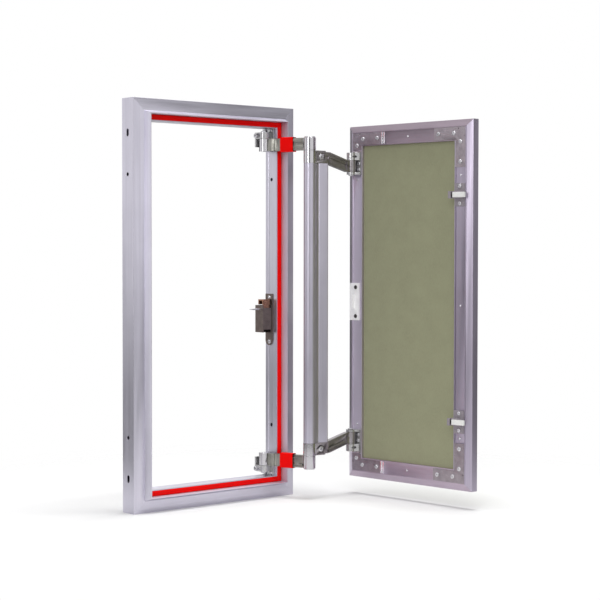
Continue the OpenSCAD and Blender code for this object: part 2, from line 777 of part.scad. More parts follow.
module strike_plate() {
    z = hook_z - door_z0;
    color([0.93, 0.92, 0.93]) on_door() translate([0, 0, z]) difference() {
        union() {
            translate([0, 0, -strike_h / 2]) linear_extrude(strike_h) polygon([
                [strike_x0, -strike_top], [strike_x1, -strike_top], [strike_x1, band_floor - play],
                [band_in + play, band_floor - play], [band_in + play, -rib_h - play],
                [strike_x0, -rib_h - play]
            ]);
            translate([blade_at - blade_t / 2, -strike_top - blade_l, -blade_h / 2])
                cube([blade_t, blade_l + eps, blade_h]);
        }
        for (s = strike_screw_z) translate([strike_screw_x, -strike_top - 1, s]) rotate([-90, 0, 0])
            cylinder(r = 1.7, h = 5);
    }
}

module strike_screws() {
    z = hook_z - door_z0;
    color([0.35, 0.33, 0.32]) on_door() for (s = strike_screw_z)
        translate([strike_screw_x, -strike_top - play, z + s]) rotate([90, 0, 0])
            cap_screw(1.5, 3, 1.4, strike_top);
}

// Side catch: a base screwed in the band, with a sprung nylon tongue that slides across the rib
catch_plate_h = 34;
tongue_h = 7.6;
lip_side_clear = frame_sec - lip_in - door_gap;
tongue_tip = lip_side_clear + 0.8;
tongue_end = 28;
tongue_up = 10;
tongue_low = 5;
catch_wall = 1.4;
catch_x0 = band_in + play;
catch_block = door_sec - 1;
catch_x1 = tongue_end + catch_travel + 3;
catch_screw_z = [-12.5, 12.5];

module catch_base() {
    top = tongue_up + play + catch_wall;
    half = tongue_h / 2 + play;
    difference() {
        union() {
            translate([catch_x0, -2, -catch_plate_h / 2])
                cube([band_w - 2 * play, 2 + band_floor - play / 2, catch_plate_h]);
            translate([catch_x0, -tongue_up + 2, -half - catch_wall])
                cube([catch_block - catch_x0, tongue_up - 2 - rib_h - play, 2 * (half + catch_wall)]);
            translate([catch_block - eps, -top, -half - catch_wall])
                cube([catch_x1 - catch_block, top - rib_h - play, 2 * (half + catch_wall)]);
        }
        translate([catch_x0 - 1, -tongue_up - play, -half])
            cube([catch_x1 - catch_x0 + 1 - catch_wall, tongue_up - tongue_low + 2 * play, 2 * half]);
        for (z = catch_screw_z) translate([band_in + band_w / 2, -3, z]) rotate([-90, 0, 0])
            cylinder(r = 1.7, h = 5);
    }
}

module catch_tongue() {
    translate([0, 0, -tongue_h / 2]) linear_extrude(tongue_h) polygon([
        [tongue_tip + 2.5, -tongue_low], [tongue_end, -tongue_low], [tongue_end, -tongue_up],
        [tongue_tip + 1.5, -tongue_up], [tongue_tip, -tongue_up + 1.6], [tongue_tip, -tongue_low - 1.2]
    ]);
}

// Places a catch piece on the free stile
module at_catch(s) {
    z = s > 0 ? door_h - catch_end_top : catch_end_low;
    on_door() translate([door_w, 0, z]) mirror([1, 0, 0]) children();
}

module catch_base_upper() {
    color([0.66, 0.65, 0.66]) at_catch(1) catch_base();
}

module catch_base_lower() {
    color([0.66, 0.65, 0.66]) at_catch(-1) catch_base();
}

module catch_tongue_upper() {
    color([0.94, 0.94, 0.92]) at_catch(1) catch_tongue();
}

module catch_tongue_lower() {
    color([0.94, 0.94, 0.92]) at_catch(-1) catch_tongue();
}

// Spring between the end of a tongue and the end wall of its base
module catch_spring() {
    translate([tongue_end + play, -(tongue_up + tongue_low) / 2, 0]) rotate([0, 90, 0])
        spring_tube(1.9, 0.5, catch_x1 - catch_wall - tongue_end - 2 * play);
}

module catch_spring_upper() {
    color([0.4, 0.4, 0.42]) at_catch(1) catch_spring();
}

module catch_spring_lower() {
    color([0.4, 0.4, 0.42]) at_catch(-1) catch_spring();
}

// A wound spring as a ribbed tube
module spring_tube(r, wire, l) {
    n = max(2, floor(l / (2.2 * wire)));
    p = l / n;
    rotate_extrude() polygon(concat(
        [[r - 2 * wire, 0]],
        [for (i = [0 : n - 1]) each [[r - 0.4 * wire, i * p], [r, (i + 0.5) * p]]],
        [[r - 0.4 * wire, l], [r - 2 * wire, l]]
    ));
}

module catch_screws() {
    color([0.85, 0.85, 0.87]) for (s = [-1, 1]) at_catch(s) for (z = catch_screw_z)
        translate([band_in + band_w / 2, -2 - play, z]) rotate([90, 0, 0])
            cap_screw(1.5, 3, 1.4, 1.8);
}

// Latch on the frame's hinge side, on a plate with a rounded lower tab
module latch_plate() {
    w = frame_depth / 2 - latch_plate_y - 1;
    color([0.5, 0.47, 0.45]) difference() {
        translate([clear_x - latch_plate_t - play, latch_plate_y, latch_plate_z]) rotate([90, 0, 90])
            linear_extrude(latch_plate_t) {
                translate([0, w / 2]) square([w, latch_plate_h - w / 2]);
                translate([w / 2, w / 2]) circle(d = w);
            }
        for (z = latch_screw_z)
            translate([clear_x - latch_plate_t - 1, latch_screw_y, z]) rotate([0, 90, 0])
                cylinder(r = side_screw_r + play, h = latch_plate_t + 2);
    }
}

latch_screw_z = [for (up = [latch_screw_in, latch_plate_h - latch_screw_in]) latch_plate_z + up];
case_x1 = clear_x - latch_plate_t - 2 * play;
case_x0 = clear_x - latch_w;
case_wall = 1.2;
case_floor = 4;
case_slot = 4.2;
hook_in = 2;
hook_t = 2;
hook_rise = 9;
hook_reach = 12;
hook_w = case_x1 - case_x0 - 2 * case_wall - 2;
hook_x0 = case_x0 + case_wall + 1;
tail_z = hook_pivot[2] - 5;

module latch_case() {
    inner = case_x1 - case_x0 - 2 * case_wall;
    color([0.47, 0.42, 0.4]) difference() {
        translate([case_x0, latch_y, latch_top - latch_h])
            cube([case_x1 - case_x0, latch_d, latch_h]);
        translate([case_x0 + case_wall, latch_y + case_wall, latch_top - latch_h + case_floor])
            cube([inner, latch_d - 2 * case_wall, latch_h]);
        for (z = [latch_top - case_slot, latch_top - latch_h - 1])
            translate([hook_x0 - 0.4, latch_y - 1, z]) cube([hook_w + 0.8, 4, case_slot + 1]);
        translate([case_x0 - 1, hook_pivot[1], hook_pivot[2]]) rotate([0, 90, 0])
            cylinder(r = 1.5 + pin_clear, h = latch_w + 2);
    }
}

// Bent steel claw that reaches up out of the case to the strike's blade
module latch_hook() {
    y0 = latch_y + hook_in;
    top = latch_top + hook_rise;
    color([0.6, 0.42, 0.34]) difference() {
        union() {
            translate([hook_x0, y0, hook_pivot[2] - 3]) cube([hook_w, hook_t, top - hook_pivot[2] + 3]);
            translate([hook_x0, y0, top - hook_t]) cube([hook_w, hook_reach, hook_t]);
            translate([hook_x0, y0 + hook_reach - hook_t, latch_top + 1])
                cube([hook_w, hook_t, hook_rise - 1]);
            translate([hook_x0, hook_pivot[1], hook_pivot[2]]) rotate([0, 90, 0])
                cylinder(r = 3.2, h = hook_w);
            translate([hook_x0, y0, hook_pivot[2] - 3]) cube([hook_w, hook_pivot[1] - y0, 6]);
            translate([hook_x0, hook_pivot[1], tail_z]) cube([hook_w, 9.5, hook_t]);
            translate([hook_x0, hook_pivot[1] - 1, tail_z]) cube([hook_w, 2, 5]);
        }
        translate([hook_x0 - 1, hook_pivot[1], hook_pivot[2]]) rotate([0, 90, 0])
            cylinder(r = 1.5 + pin_clear, h = hook_w + 2);
    }
}

// Pin of the claw, with a long point that stands out into the opening
pin_point = [12, 22];

module latch_pivot_pin() {
    color([0.7, 0.7, 0.7]) translate([case_x0 - pin_point[1], hook_pivot[1], hook_pivot[2]])
        rotate([0, 90, 0]) rotate_extrude() polygon([
            [0, 0], [0.3, 0], [1.5, pin_point[0]], [1.5, case_x1 - case_x0 + pin_point[1]],
            [0, case_x1 - case_x0 + pin_point[1]]
        ]);
}

// Spring that pushes the claw's tail up
module latch_spring() {
    floor_z = latch_top - latch_h + case_floor;
    color([0.35, 0.35, 0.36]) translate([hook_pivot[0] - 0.8, hook_pivot[1] + 6, floor_z + play])
        spring_tube(3.2, 0.8, tail_z - floor_z - 2 * play);
}

module latch_screws() {
    color([0.83, 0.82, 0.84]) for (z = latch_screw_z)
        translate([clear_x - latch_plate_t - 2 * play, latch_screw_y, z]) rotate([0, -90, 0])
            cap_screw(side_screw_r, 3.3, 1.8, latch_plate_t + frame_wall + screw_bite);
}

frame_top();
frame_bottom();
frame_left();
frame_right();
frame_corner_keys();
frame_seal();
frame_bracket_upper();
frame_bracket_lower();
frame_pivot_pins();
frame_bracket_screws();
frame_adjusting_screws();
latch_case();
latch_plate();
latch_hook();
latch_pivot_pin();
latch_spring();
latch_screws();
frame_arm_upper();
frame_arm_lower();
arm_sleeve_upper();
arm_sleeve_lower();
elbow_pins();
elbow_washers();
door_arm_upper();
door_arm_lower();
tie_bar();
tie_bar_screws();
door_top();
door_bottom();
door_hinge_stile();
door_free_stile();
door_board();
corner_plate_hinge_top();
corner_plate_hinge_bottom();
corner_plate_free_top();
corner_plate_free_bottom();
corner_plate_screws();
rail_rivets();
board_clips();
door_bracket_upper();
door_bracket_lower();
door_pivot_pins();
door_bracket_screws();
strike_plate();
strike_screws();
catch_base_upper();
catch_base_lower();
catch_tongue_upper();
catch_tongue_lower();
catch_spring_upper();
catch_spring_lower();
catch_screws();
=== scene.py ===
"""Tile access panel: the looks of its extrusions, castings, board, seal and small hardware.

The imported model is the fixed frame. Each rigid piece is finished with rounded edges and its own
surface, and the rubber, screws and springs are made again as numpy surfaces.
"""

import json
import math

import bmesh
import bpy
import numpy as np
from bpy.props import FloatProperty, FloatVectorProperty, IntProperty, PointerProperty
from mathutils import Matrix, Vector

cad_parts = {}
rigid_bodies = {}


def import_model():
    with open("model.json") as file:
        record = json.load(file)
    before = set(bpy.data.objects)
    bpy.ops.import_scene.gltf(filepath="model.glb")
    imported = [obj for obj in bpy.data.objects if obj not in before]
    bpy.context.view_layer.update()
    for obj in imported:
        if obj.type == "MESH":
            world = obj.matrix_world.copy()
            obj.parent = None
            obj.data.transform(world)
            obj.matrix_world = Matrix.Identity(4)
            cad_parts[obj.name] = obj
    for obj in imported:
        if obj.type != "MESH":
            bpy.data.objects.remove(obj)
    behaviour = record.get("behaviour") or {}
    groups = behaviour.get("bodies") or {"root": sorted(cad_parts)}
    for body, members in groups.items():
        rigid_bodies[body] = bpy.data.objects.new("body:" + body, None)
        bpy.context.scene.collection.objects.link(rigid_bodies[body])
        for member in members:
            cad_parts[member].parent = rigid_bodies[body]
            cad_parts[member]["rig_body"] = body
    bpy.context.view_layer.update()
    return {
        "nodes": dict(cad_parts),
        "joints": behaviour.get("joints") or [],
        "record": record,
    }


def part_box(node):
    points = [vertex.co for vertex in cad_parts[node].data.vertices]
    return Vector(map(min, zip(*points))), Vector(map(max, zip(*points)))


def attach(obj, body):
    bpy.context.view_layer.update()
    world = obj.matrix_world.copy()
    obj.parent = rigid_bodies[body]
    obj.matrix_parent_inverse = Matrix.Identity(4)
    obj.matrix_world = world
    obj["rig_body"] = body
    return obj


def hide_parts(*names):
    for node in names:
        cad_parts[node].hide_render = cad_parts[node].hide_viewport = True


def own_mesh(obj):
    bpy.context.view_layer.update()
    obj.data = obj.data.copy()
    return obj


bl_info = {
    "name": "Tile access panel",
    "version": (1, 0, 0),
    "blender": (4, 5, 0),
    "location": "3D View > Sidebar > Access panel",
    "description": "Finishes an aluminium access panel for tiled walls around its packed frame",
    "category": "Object",
}

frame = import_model()

MM = 0.001
SAME_PLACE = 2e-6
FLAT_ANGLE = math.radians(0.4)
ROUNDED_ANGLE = math.radians(32)
FULL_TURN = 2 * math.pi
SLOTS = {part["node"]: part["material_slot"] for part in frame["record"]["subparts"]}
JOINTS = {joint["name"]: joint for joint in frame["joints"]}


def srgb(red, green, blue):
    """A screen colour from 0 to 255 as linear light."""
    values = np.array([red, green, blue]) / 255.0
    low = values / 12.92
    high = ((values + 0.055) / 1.055) ** 2.4
    return tuple(float(v) for v in np.where(values <= 0.04045, low, high))


# Settings


class AccessPanelColours(bpy.types.PropertyGroup):
    """Colours of the panel's finishes."""

    frame_metal: FloatVectorProperty(
        name="Frame metal", description="Extrusions of the wall frame",
        subtype="COLOR", size=3, min=0, max=1, default=srgb(214, 211, 224))
    door_metal: FloatVectorProperty(
        name="Door metal", description="Extrusions of the door",
        subtype="COLOR", size=3, min=0, max=1, default=srgb(206, 199, 214))
    tie_metal: FloatVectorProperty(
        name="Tie bar metal", description="Extrusion between the door arms",
        subtype="COLOR", size=3, min=0, max=1, default=srgb(206, 202, 216))
    casting: FloatVectorProperty(
        name="Castings", description="Die-cast arms and brackets",
        subtype="COLOR", size=3, min=0, max=1, default=srgb(150, 149, 142))
    seal: FloatVectorProperty(
        name="Seal", description="Rubber seal and sleeves",
        subtype="COLOR", size=3, min=0, max=1, default=srgb(255, 2, 1))
    board: FloatVectorProperty(
        name="Board", description="Paper face of the moisture-resistant plasterboard",
        subtype="COLOR", size=3, min=0, max=1, default=srgb(150, 151, 122))
    latch: FloatVectorProperty(
        name="Latch", description="Warm grey steel of the latch",
        subtype="COLOR", size=3, min=0, max=1, default=srgb(128, 116, 112))


class AccessPanelSizes(bpy.types.PropertyGroup):
    """Sizes that only the finish needs."""

    edge_round: FloatProperty(
        name="Edge round", description="Rounding of cut and cast edges",
        subtype="DISTANCE", unit="LENGTH", min=0, default=0.35 * MM)
    fine_round: FloatProperty(
        name="Fine edge round", description="Rounding of thin stampings",
        subtype="DISTANCE", unit="LENGTH", min=0, default=0.2 * MM)
    cast_round: FloatProperty(
        name="Casting round", description="Rounding of the door arms' edges",
        subtype="DISTANCE", unit="LENGTH", min=0, default=0.6 * MM)
    web_height: FloatProperty(
        name="Web height", description="Height of the groove along a casting's side",
        subtype="DISTANCE", unit="LENGTH", min=0, default=4.2 * MM)
    web_depth: FloatProperty(
        name="Web depth", description="Depth of the groove along a casting's side",
        subtype="DISTANCE", unit="LENGTH", min=0, default=1.6 * MM)
    lobe_depth: FloatProperty(
        name="Seal groove", description="Depth of the groove along the seal",
        subtype="DISTANCE", unit="LENGTH", min=0, default=0.35 * MM)
    screw_sides: IntProperty(
        name="Screw sides", description="Facets round a screw head", min=16, default=40)
    coil_sides: IntProperty(
        name="Wire sides", description="Facets round a spring's wire", min=6, default=10)


# Meshes


def grid_quads(rows, columns, wrap_rows=False, wrap_columns=False):
    """Quads of a grid of rows by columns of points, closed on itself where asked."""
    r = np.arange(rows if wrap_rows else rows - 1)
    c = np.arange(columns if wrap_columns else columns - 1)
    rr, cc = np.meshgrid(r, c, indexing="ij")
    r1, c1 = (rr + 1) % rows, (cc + 1) % columns
    return np.stack(
        [rr * columns + cc, rr * columns + c1, r1 * columns + c1, r1 * columns + cc], -1
    ).reshape(-1, 4)


def together(*coordinates):
    """Coordinates of any matching shapes as one array of points."""
    return np.stack(np.broadcast_arrays(*coordinates), -1)


def joined(parts):
    """Several (points, faces) surfaces as one, with the faces' numbers moved on."""
    points, faces, start = [], [], 0
    for some_points, some_faces in parts:
        points.append(some_points)
        faces += [[int(i) + start for i in face] for face in some_faces]
        start += len(some_points)
    return np.concatenate(points), faces


def new_piece(name, points, faces, material, body, slot, smooth_angle=35.0):
    """A mesh object of these points and faces that rides on a body and takes a material; the slot
    argument is not used.
    """
    mesh = bpy.data.meshes.new(name)
    mesh.from_pydata(np.asarray(points, float).tolist(), [], [list(face) for face in faces])
    mesh.validate()
    shape = bmesh.new()
    shape.from_mesh(mesh)
    bmesh.ops.recalc_face_normals(shape, faces=shape.faces)
    shape.to_mesh(mesh)
    shape.free()
    return placed(mesh, name, material, body, smooth_angle)


def placed(mesh, name, material, body, smooth_angle):
    """Links a mesh as an object at the origin, smooth but for its sharp edges."""
    mesh.materials.clear()
    mesh.materials.append(material)
    mesh.polygons.foreach_set("use_smooth", [True] * len(mesh.polygons))
    mesh.set_sharp_from_angle(angle=math.radians(smooth_angle))
    piece = bpy.data.objects.new(name, mesh)
    bpy.context.scene.collection.objects.link(piece)
    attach(piece, body)
    return piece


def finished(node, material, round_by, segments=2):
    """A merged copy of a CAD node with rounded edges, standing for the node."""
    source = frame["nodes"][node]
    mesh = source.data.copy()
    shape = bmesh.new()
    shape.from_mesh(mesh)
    bmesh.ops.remove_doubles(shape, verts=shape.verts, dist=SAME_PLACE)
    bmesh.ops.dissolve_limit(
        shape, angle_limit=FLAT_ANGLE, verts=shape.verts, edges=shape.edges)
    shape.to_mesh(mesh)
    shape.free()
    piece = placed(mesh, node + "_finish", material, source["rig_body"], 30.0)
    if round_by > 0:
        bevel = piece.modifiers.new("Edges", "BEVEL")
        bevel.width = round_by
        bevel.segments = segments
        bevel.limit_method = "ANGLE"
        bevel.angle_limit = ROUNDED_ANGLE
        bevel.use_clamp_overlap = True
        bevel.harden_normals = True
        bevel.miter_outer = "MITER_ARC"
    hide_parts(node)
    return piece


def grooved(piece, direction, height, depth):
    """Sinks a groove along the middle of a casting's long flat sides that face a direction.

    Two cuts along the side's longest edge part a strip of the given height from the side, and the
    strip is moved inwards with a narrow margin.
    """
    facing, large, margin = 0.97, 60 * MM * MM, 0.3 * MM
    way = Vector(direction).normalized()
    shape = bmesh.new()
    shape.from_mesh(piece.data)
    strips = []
    sides = [face for face in shape.faces
             if face.normal.dot(way) > facing and face.calc_area() > large]
    for face in sides:
        edge = max(face.edges, key=lambda each: each.calc_length())
        along = (edge.verts[1].co - edge.verts[0].co).normalized()
        up = along.cross(face.normal)
        middle = face.calc_center_median_weighted()
        for side in (-0.5, 0.5):
            cut = middle + up * (side * height)
            geometry = [face, *face.edges, *face.verts]
            made = bmesh.ops.bisect_plane(shape, geom=geometry, plane_co=cut, plane_no=up)
            pieces = [part for part in made["geom"] if isinstance(part, bmesh.types.BMFace)]
            face = min(pieces, key=lambda part: abs(
                (part.calc_center_median_weighted() - middle).dot(up)))
        strips.append(face)
    bmesh.ops.inset_individual(
        shape, faces=strips, thickness=margin, depth=-depth, use_even_offset=True)
    shape.to_mesh(piece.data)
    shape.free()


def on_body_of(node):
    """The body and the material slot of a CAD node."""
    return frame["nodes"][node]["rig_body"], SLOTS[node]


def solids_of(node):
    """The separate solids of a CAD node, each as an array of its points.

    Triangles that share a place share a label, and the lowest label spreads until it is still.
    """
    mesh = frame["nodes"][node].data
    points = np.zeros(len(mesh.vertices) * 3)
    mesh.vertices.foreach_get("co", points)
    points = points.reshape(-1, 3)
    corners = np.zeros(len(mesh.loops), int)
    mesh.loops.foreach_get("vertex_index", corners)
    steps = np.round(points / SAME_PLACE).astype(np.int64)
    place = np.unique(steps, axis=0, return_inverse=True)[1].ravel()
    triangles = place[corners.reshape(-1, 3)]
    label = np.arange(place.max() + 1)
    while True:
        lowest = label[triangles].min(1)
        before = label.copy()
        for corner in range(3):
            np.minimum.at(label, triangles[:, corner], lowest)
        if (before == label).all():
            break
    of_point = label[place]
    return [points[of_point == value] for value in np.unique(of_point)]


def turned_to(direction, spin=0.0):
    """A rotation that takes +Z to a direction, after a spin about it."""
    z = np.array(direction, float)
    z = z / np.linalg.norm(z)
    helper = np.array([0, 0, 1.0]) if abs(z[2]) < 0.9 else np.array([1.0, 0, 0])
    x = np.cross(helper, z)
    x = x / np.linalg.norm(x)
    y = np.cross(z, x)
    c, s = math.cos(spin), math.sin(spin)
    return np.stack([c * x + s * y, -s * x + c * y, z], 1)


def end_fans(rings, sides):
    """Fans of triangles from two last points to the first and the last ring of a tube."""
    around = np.arange(sides)
    after = (around + 1) % sides
    base = (rings - 1) * sides
    first = np.full(sides, rings * sides)
    return (np.stack([first, after, around], 1).tolist()
            + np.stack([first + 1, base + around, base + after], 1).tolist())


def lathe(profile, sides):
    """A closed surface of revolution: each profile point (radius, height) is turned about Z.

    The first and last points lie on the axis, and each becomes one point with a fan of triangles.
    """
    angle = np.linspace(0, FULL_TURN, sides, endpoint=False)
    radius, height = profile[1:-1, :1], profile[1:-1, 1:]
    points = together(radius * np.cos(angle), radius * np.sin(angle), height).reshape(-1, 3)
    faces = grid_quads(len(radius), sides, wrap_columns=True).tolist()
    ends = [[0, 0, profile[0, 1]], [0, 0, profile[-1, 1]]]
    return np.vstack([points, ends]), faces + end_fans(len(radius), sides)


def tube(path, radius, sides, binormal):
    """A round tube along a path: each ring is a circle across the path's direction.

    The ring lies in the plane of a fixed binormal and the normal across both, and its two ends
    are closed with fans.
    """
    along = np.gradient(path, axis=0)
    along = along / np.linalg.norm(along, axis=1, keepdims=True)
    across = np.cross(np.asarray(binormal, float), along)
    across = across / np.linalg.norm(across, axis=1, keepdims=True)
    up = np.cross(along, across)
    angle = np.linspace(0, FULL_TURN, sides, endpoint=False)[:, None]
    circle = np.cos(angle) * across[:, None] + np.sin(angle) * up[:, None]
    points = (path[:, None] + radius * circle).reshape(-1, 3)
    faces = grid_quads(len(path), sides, wrap_columns=True).tolist()
    return np.vstack([points, path[0], path[-1]]), faces + end_fans(len(path), sides)


def superellipse(angle, half_x, half_y, power):
    """Points of a superellipse: the cosine and sine keep their sign and take the power 2/n."""
    c, s = np.cos(angle), np.sin(angle)
    return (half_x * np.sign(c) * np.abs(c) ** (2 / power),
            half_y * np.sign(s) * np.abs(s) ** (2 / power))


# Materials


class NodeTree:
    """The node tree of a material or a world, with the nodes' inputs set by value or by link."""

    def __init__(self, owner):
        owner.use_nodes = True
        self.tree = owner.node_tree

    def node(self, kind, inputs=None, **settings):
        """A new node with some of its properties and inputs set."""
        made = self.tree.nodes.new(kind)
        for key, value in settings.items():
            setattr(made, key, value)
        for key, value in (inputs or {}).items():
            self.give(value, made.inputs[key])
        return made

    def give(self, value, target):
        """Sets an input to a number or a colour, or links it to an output."""
        if isinstance(value, bpy.types.NodeSocket):
            self.tree.links.new(value, target)
        else:
            target.default_value = value


class StageTree(NodeTree):
    """A tree of a stage material or the world, which starts empty."""

    def __init__(self, owner):
        super().__init__(owner)
        self.tree.nodes.clear()

    def light_rays(self, name):
        """One of the kinds of ray, as 1 or 0."""
        return self.node("ShaderNodeLightPath").outputs[name]

    def mixed(self, factor, first, second):
        """Two shaders mixed by a factor."""
        return self.node("ShaderNodeMixShader", {0: factor, 1: first, 2: second}).outputs[0]


class Shader(NodeTree):
    """A material's node tree around one Principled shader."""

    def __init__(self, name, colour, roughness, metallic=0.0):
        self.material = bpy.data.materials.new(name)
        super().__init__(self.material)
        self.main = self.tree.nodes["Principled BSDF"]
        self.main.inputs["Base Color"].default_value = (*colour, 1)
        self.main.inputs["Roughness"].default_value = roughness
        self.main.inputs["Metallic"].default_value = metallic
        self.place = self.node("ShaderNodeTexCoord").outputs["Object"]

    def stretched(self, scale):
        """The object's coordinates with each axis scaled."""
        return self.node(
            "ShaderNodeMapping", {"Scale": scale, "Vector": self.place}).outputs["Vector"]

    def noise(self, scale, detail=3.0, rough=0.5, vector=None):
        """Noise from 0 to 1, at a scale per metre."""
        return self.node("ShaderNodeTexNoise", {
            "Scale": scale, "Detail": detail, "Roughness": rough,
            "Vector": vector or self.place}).outputs["Fac"]

    def spread(self, value, low, high, to_low, to_high):
        """A value from low to high, taken to another range and held inside it."""
        return self.node("ShaderNodeMapRange", {
            "From Min": low, "From Max": high, "To Min": to_low, "To Max": to_high,
            "Value": value}, clamp=True).outputs["Result"]

    def blended(self, factor, first, second):
        """Two colours mixed by a factor. The first is a socket or a plain colour."""
        if isinstance(first, tuple):
            first = (*first, 1)
        return self.node("ShaderNodeMix", {
            "Factor": factor, "A": first, "B": (*second, 1)}, data_type="RGBA").outputs["Result"]

    def shades(self, value, low, high, first, second, most=1.0):
        """A colour that goes from the first to the second as a value goes from low to high."""
        return self.blended(self.spread(value, low, high, 0.0, most), first, second)

    def smoothed(self, near, dull, polish):
        """A roughness that takes another value where a mask is 1."""
        return self.node(
            "ShaderNodeMix", {"Factor": near, "A": dull, "B": polish}).outputs["Result"]

    def bump(self, height, strength, distance):
        """Adds relief of a height map to the shader, after any relief already there."""
        made = self.node("ShaderNodeBump", {
            "Strength": strength, "Distance": distance, "Height": height})
        old = self.main.inputs["Normal"]
        if old.is_linked:
            self.give(old.links[0].from_socket, made.inputs["Normal"])
        self.give(made.outputs["Normal"], old)

    def colour(self, socket):
        """Sets the base colour."""
        self.give(socket, self.main.inputs["Base Color"])

    def roughness(self, socket):
        """Sets the roughness."""
        self.give(socket, self.main.inputs["Roughness"])


def scaled(colour, by):
    """A colour made lighter or darker, at most white."""
    return tuple(min(1.0, c * by) for c in colour)


def tinted(colour, by):
    """A colour with each of its channels made lighter or darker."""
    return tuple(c * f for c, f in zip(colour, by))


def extruded_metal(name, colour, along, wall=None):
    """Mill-finish aluminium: fine die lines along the length, soft cloudy patches and rubs.

    A wall is a (direction, middle, distance) for the planes at that distance on both sides of
    the middle, where the metal keeps the die's dull skin.
    """
    shader = Shader(name, colour, 0.34, 1.0)
    scale = [420.0, 420.0, 420.0]
    scale[along] = 3.0
    lines = shader.noise(1.0, 4.0, 0.6, shader.stretched(scale))
    scale[along] = 14.0
    rubs = shader.noise(0.35, 2.0, 0.7, shader.stretched(scale))
    clouds = shader.noise(9.0, 3.0, 0.55)
    tone = shader.shades(clouds, 0.3, 0.7, scaled(colour, 0.9), scaled(colour, 1.06))
    shader.colour(shader.shades(lines, 0.35, 0.68, tone, scaled(colour, 0.82), 0.45))
    dull = shader.spread(rubs, 0.35, 0.7, 0.3, 0.42)
    if wall:
        direction, middle, distance = wall
        apart = shader.node("ShaderNodeSeparateXYZ", {0: shader.place})
        away = apart.outputs[direction]
        for operation, number in (("SUBTRACT", middle), ("ABSOLUTE", 0), ("SUBTRACT", distance),
                                  ("ABSOLUTE", 0)):
            step = shader.node("ShaderNodeMath", {0: away, 1: number}, operation=operation)
            away = step.outputs[0]
        dull = shader.smoothed(shader.spread(away, 0.4 * MM, 0.8 * MM, 1.0, 0.0), dull, 0.62)
    shader.roughness(dull)
    shader.bump(lines, 0.35, 0.06 * MM)
    return shader.material


def cast_metal(name, colour, pivots=()):
    """Die-cast metal: a grainy skin with patches, polished bright round the upright pivots.

    A point is bright where its level distance to the nearest pivot is under the reach.
    """
    reach = 9.9 * MM
    shader = Shader(name, colour, 0.32, 1.0)
    skin = shader.noise(900.0, 4.0, 0.6)
    patches = shader.noise(60.0, 3.0, 0.6)
    tone = shader.shades(patches, 0.32, 0.68, scaled(colour, 0.78), scaled(colour, 1.14))
    dull = shader.spread(skin, 0.3, 0.7, 0.24, 0.46)
    for pivot in pivots:
        flat = shader.stretched((1.0, 1.0, 0.0))
        away = shader.node("ShaderNodeVectorMath", {0: flat, 1: (pivot[0], pivot[1], 0)},
                           operation="DISTANCE").outputs["Value"]
        near = shader.spread(away, reach, reach + 0.4 * MM, 1.0, 0.0)
        tone = shader.blended(near, tone, srgb(196, 194, 198))
        dull = shader.smoothed(near, dull, 0.09)
    shader.colour(tone)
    shader.roughness(dull)
    shader.bump(skin, 0.3, 0.08 * MM)
    return shader.material


def plated_steel(name, colour, rough=0.24, metallic=1.0):
    """Plated steel: a fine satin with faint spots and a slight swirl in its gloss."""
    shader = Shader(name, colour, rough, metallic)
    spots = shader.noise(700.0, 3.0, 0.6)
    swirl = shader.noise(120.0, 2.0, 0.5)
    shader.colour(shader.shades(swirl, 0.35, 0.65, scaled(colour, 0.88), scaled(colour, 1.08)))
    shader.roughness(shader.spread(spots, 0.3, 0.7, rough * 0.8, rough * 1.5))
    shader.bump(spots, 0.2, 0.04 * MM)
    return shader.material


def seal_rubber(name, colour, shine=0.12):
    """Red rubber: a matt skin with fine pitting and a dusty bloom in patches."""
    shader = Shader(name, colour, 0.6)
    shader.main.inputs["Specular IOR Level"].default_value = shine
    pits = shader.noise(1500.0, 2.0, 0.6)
    bloom = shader.noise(45.0, 3.0, 0.6)
    shader.colour(shader.shades(bloom, 0.35, 0.7, scaled(colour, 0.9), scaled(colour, 1.05)))
    shader.roughness(shader.spread(bloom, 0.3, 0.7, 0.5, 0.7))
    shader.bump(pits, 0.25, 0.05 * MM)
    return shader.material


def board_paper(name, colour):
    """Paper face of plasterboard: short fibres, faint mottling and a soft tooth."""
    shader = Shader(name, colour, 0.86)
    fibres = shader.noise(1.0, 5.0, 0.65, shader.stretched((900.0, 900.0, 260.0)))
    mottle = shader.noise(38.0, 4.0, 0.6)
    clouds = shader.noise(6.0, 2.0, 0.5)
    tone = shader.shades(mottle, 0.3, 0.7, scaled(colour, 0.93), scaled(colour, 1.05))
    tone = shader.shades(clouds, 0.35, 0.65, tone, scaled(colour, 0.9), 0.35)
    shader.colour(shader.shades(fibres, 0.42, 0.62, tone, scaled(colour, 1.14), 0.4))
    shader.bump(fibres, 0.3, 0.08 * MM)
    shader.bump(mottle, 0.15, 0.3 * MM)
    return shader.material


def moulded_plastic(name, colour, rough, cloudy=0.0):
    """Moulded nylon: a slight orange peel, and light inside it where it is cloudy."""
    shader = Shader(name, colour, rough)
    peel = shader.noise(420.0, 2.0, 0.5)
    tone = shader.noise(70.0, 2.0, 0.5)
    shader.colour(shader.shades(tone, 0.3, 0.7, scaled(colour, 0.95), scaled(colour, 1.04)))
    shader.roughness(shader.spread(peel, 0.3, 0.7, rough * 0.85, rough * 1.2))
    shader.bump(peel, 0.15, 0.06 * MM)
    if cloudy:
        shader.main.inputs["Subsurface Weight"].default_value = cloudy
        shader.main.inputs["Subsurface Radius"].default_value = (2 * MM, 2 * MM, 2 * MM)
    return shader.material


MATERIALS = {}


def finish_of(name):
    """The material of that name, made when it is first asked for."""
    if name not in MATERIALS:
        MATERIALS[name] = make_finish(name)
    return MATERIALS[name]


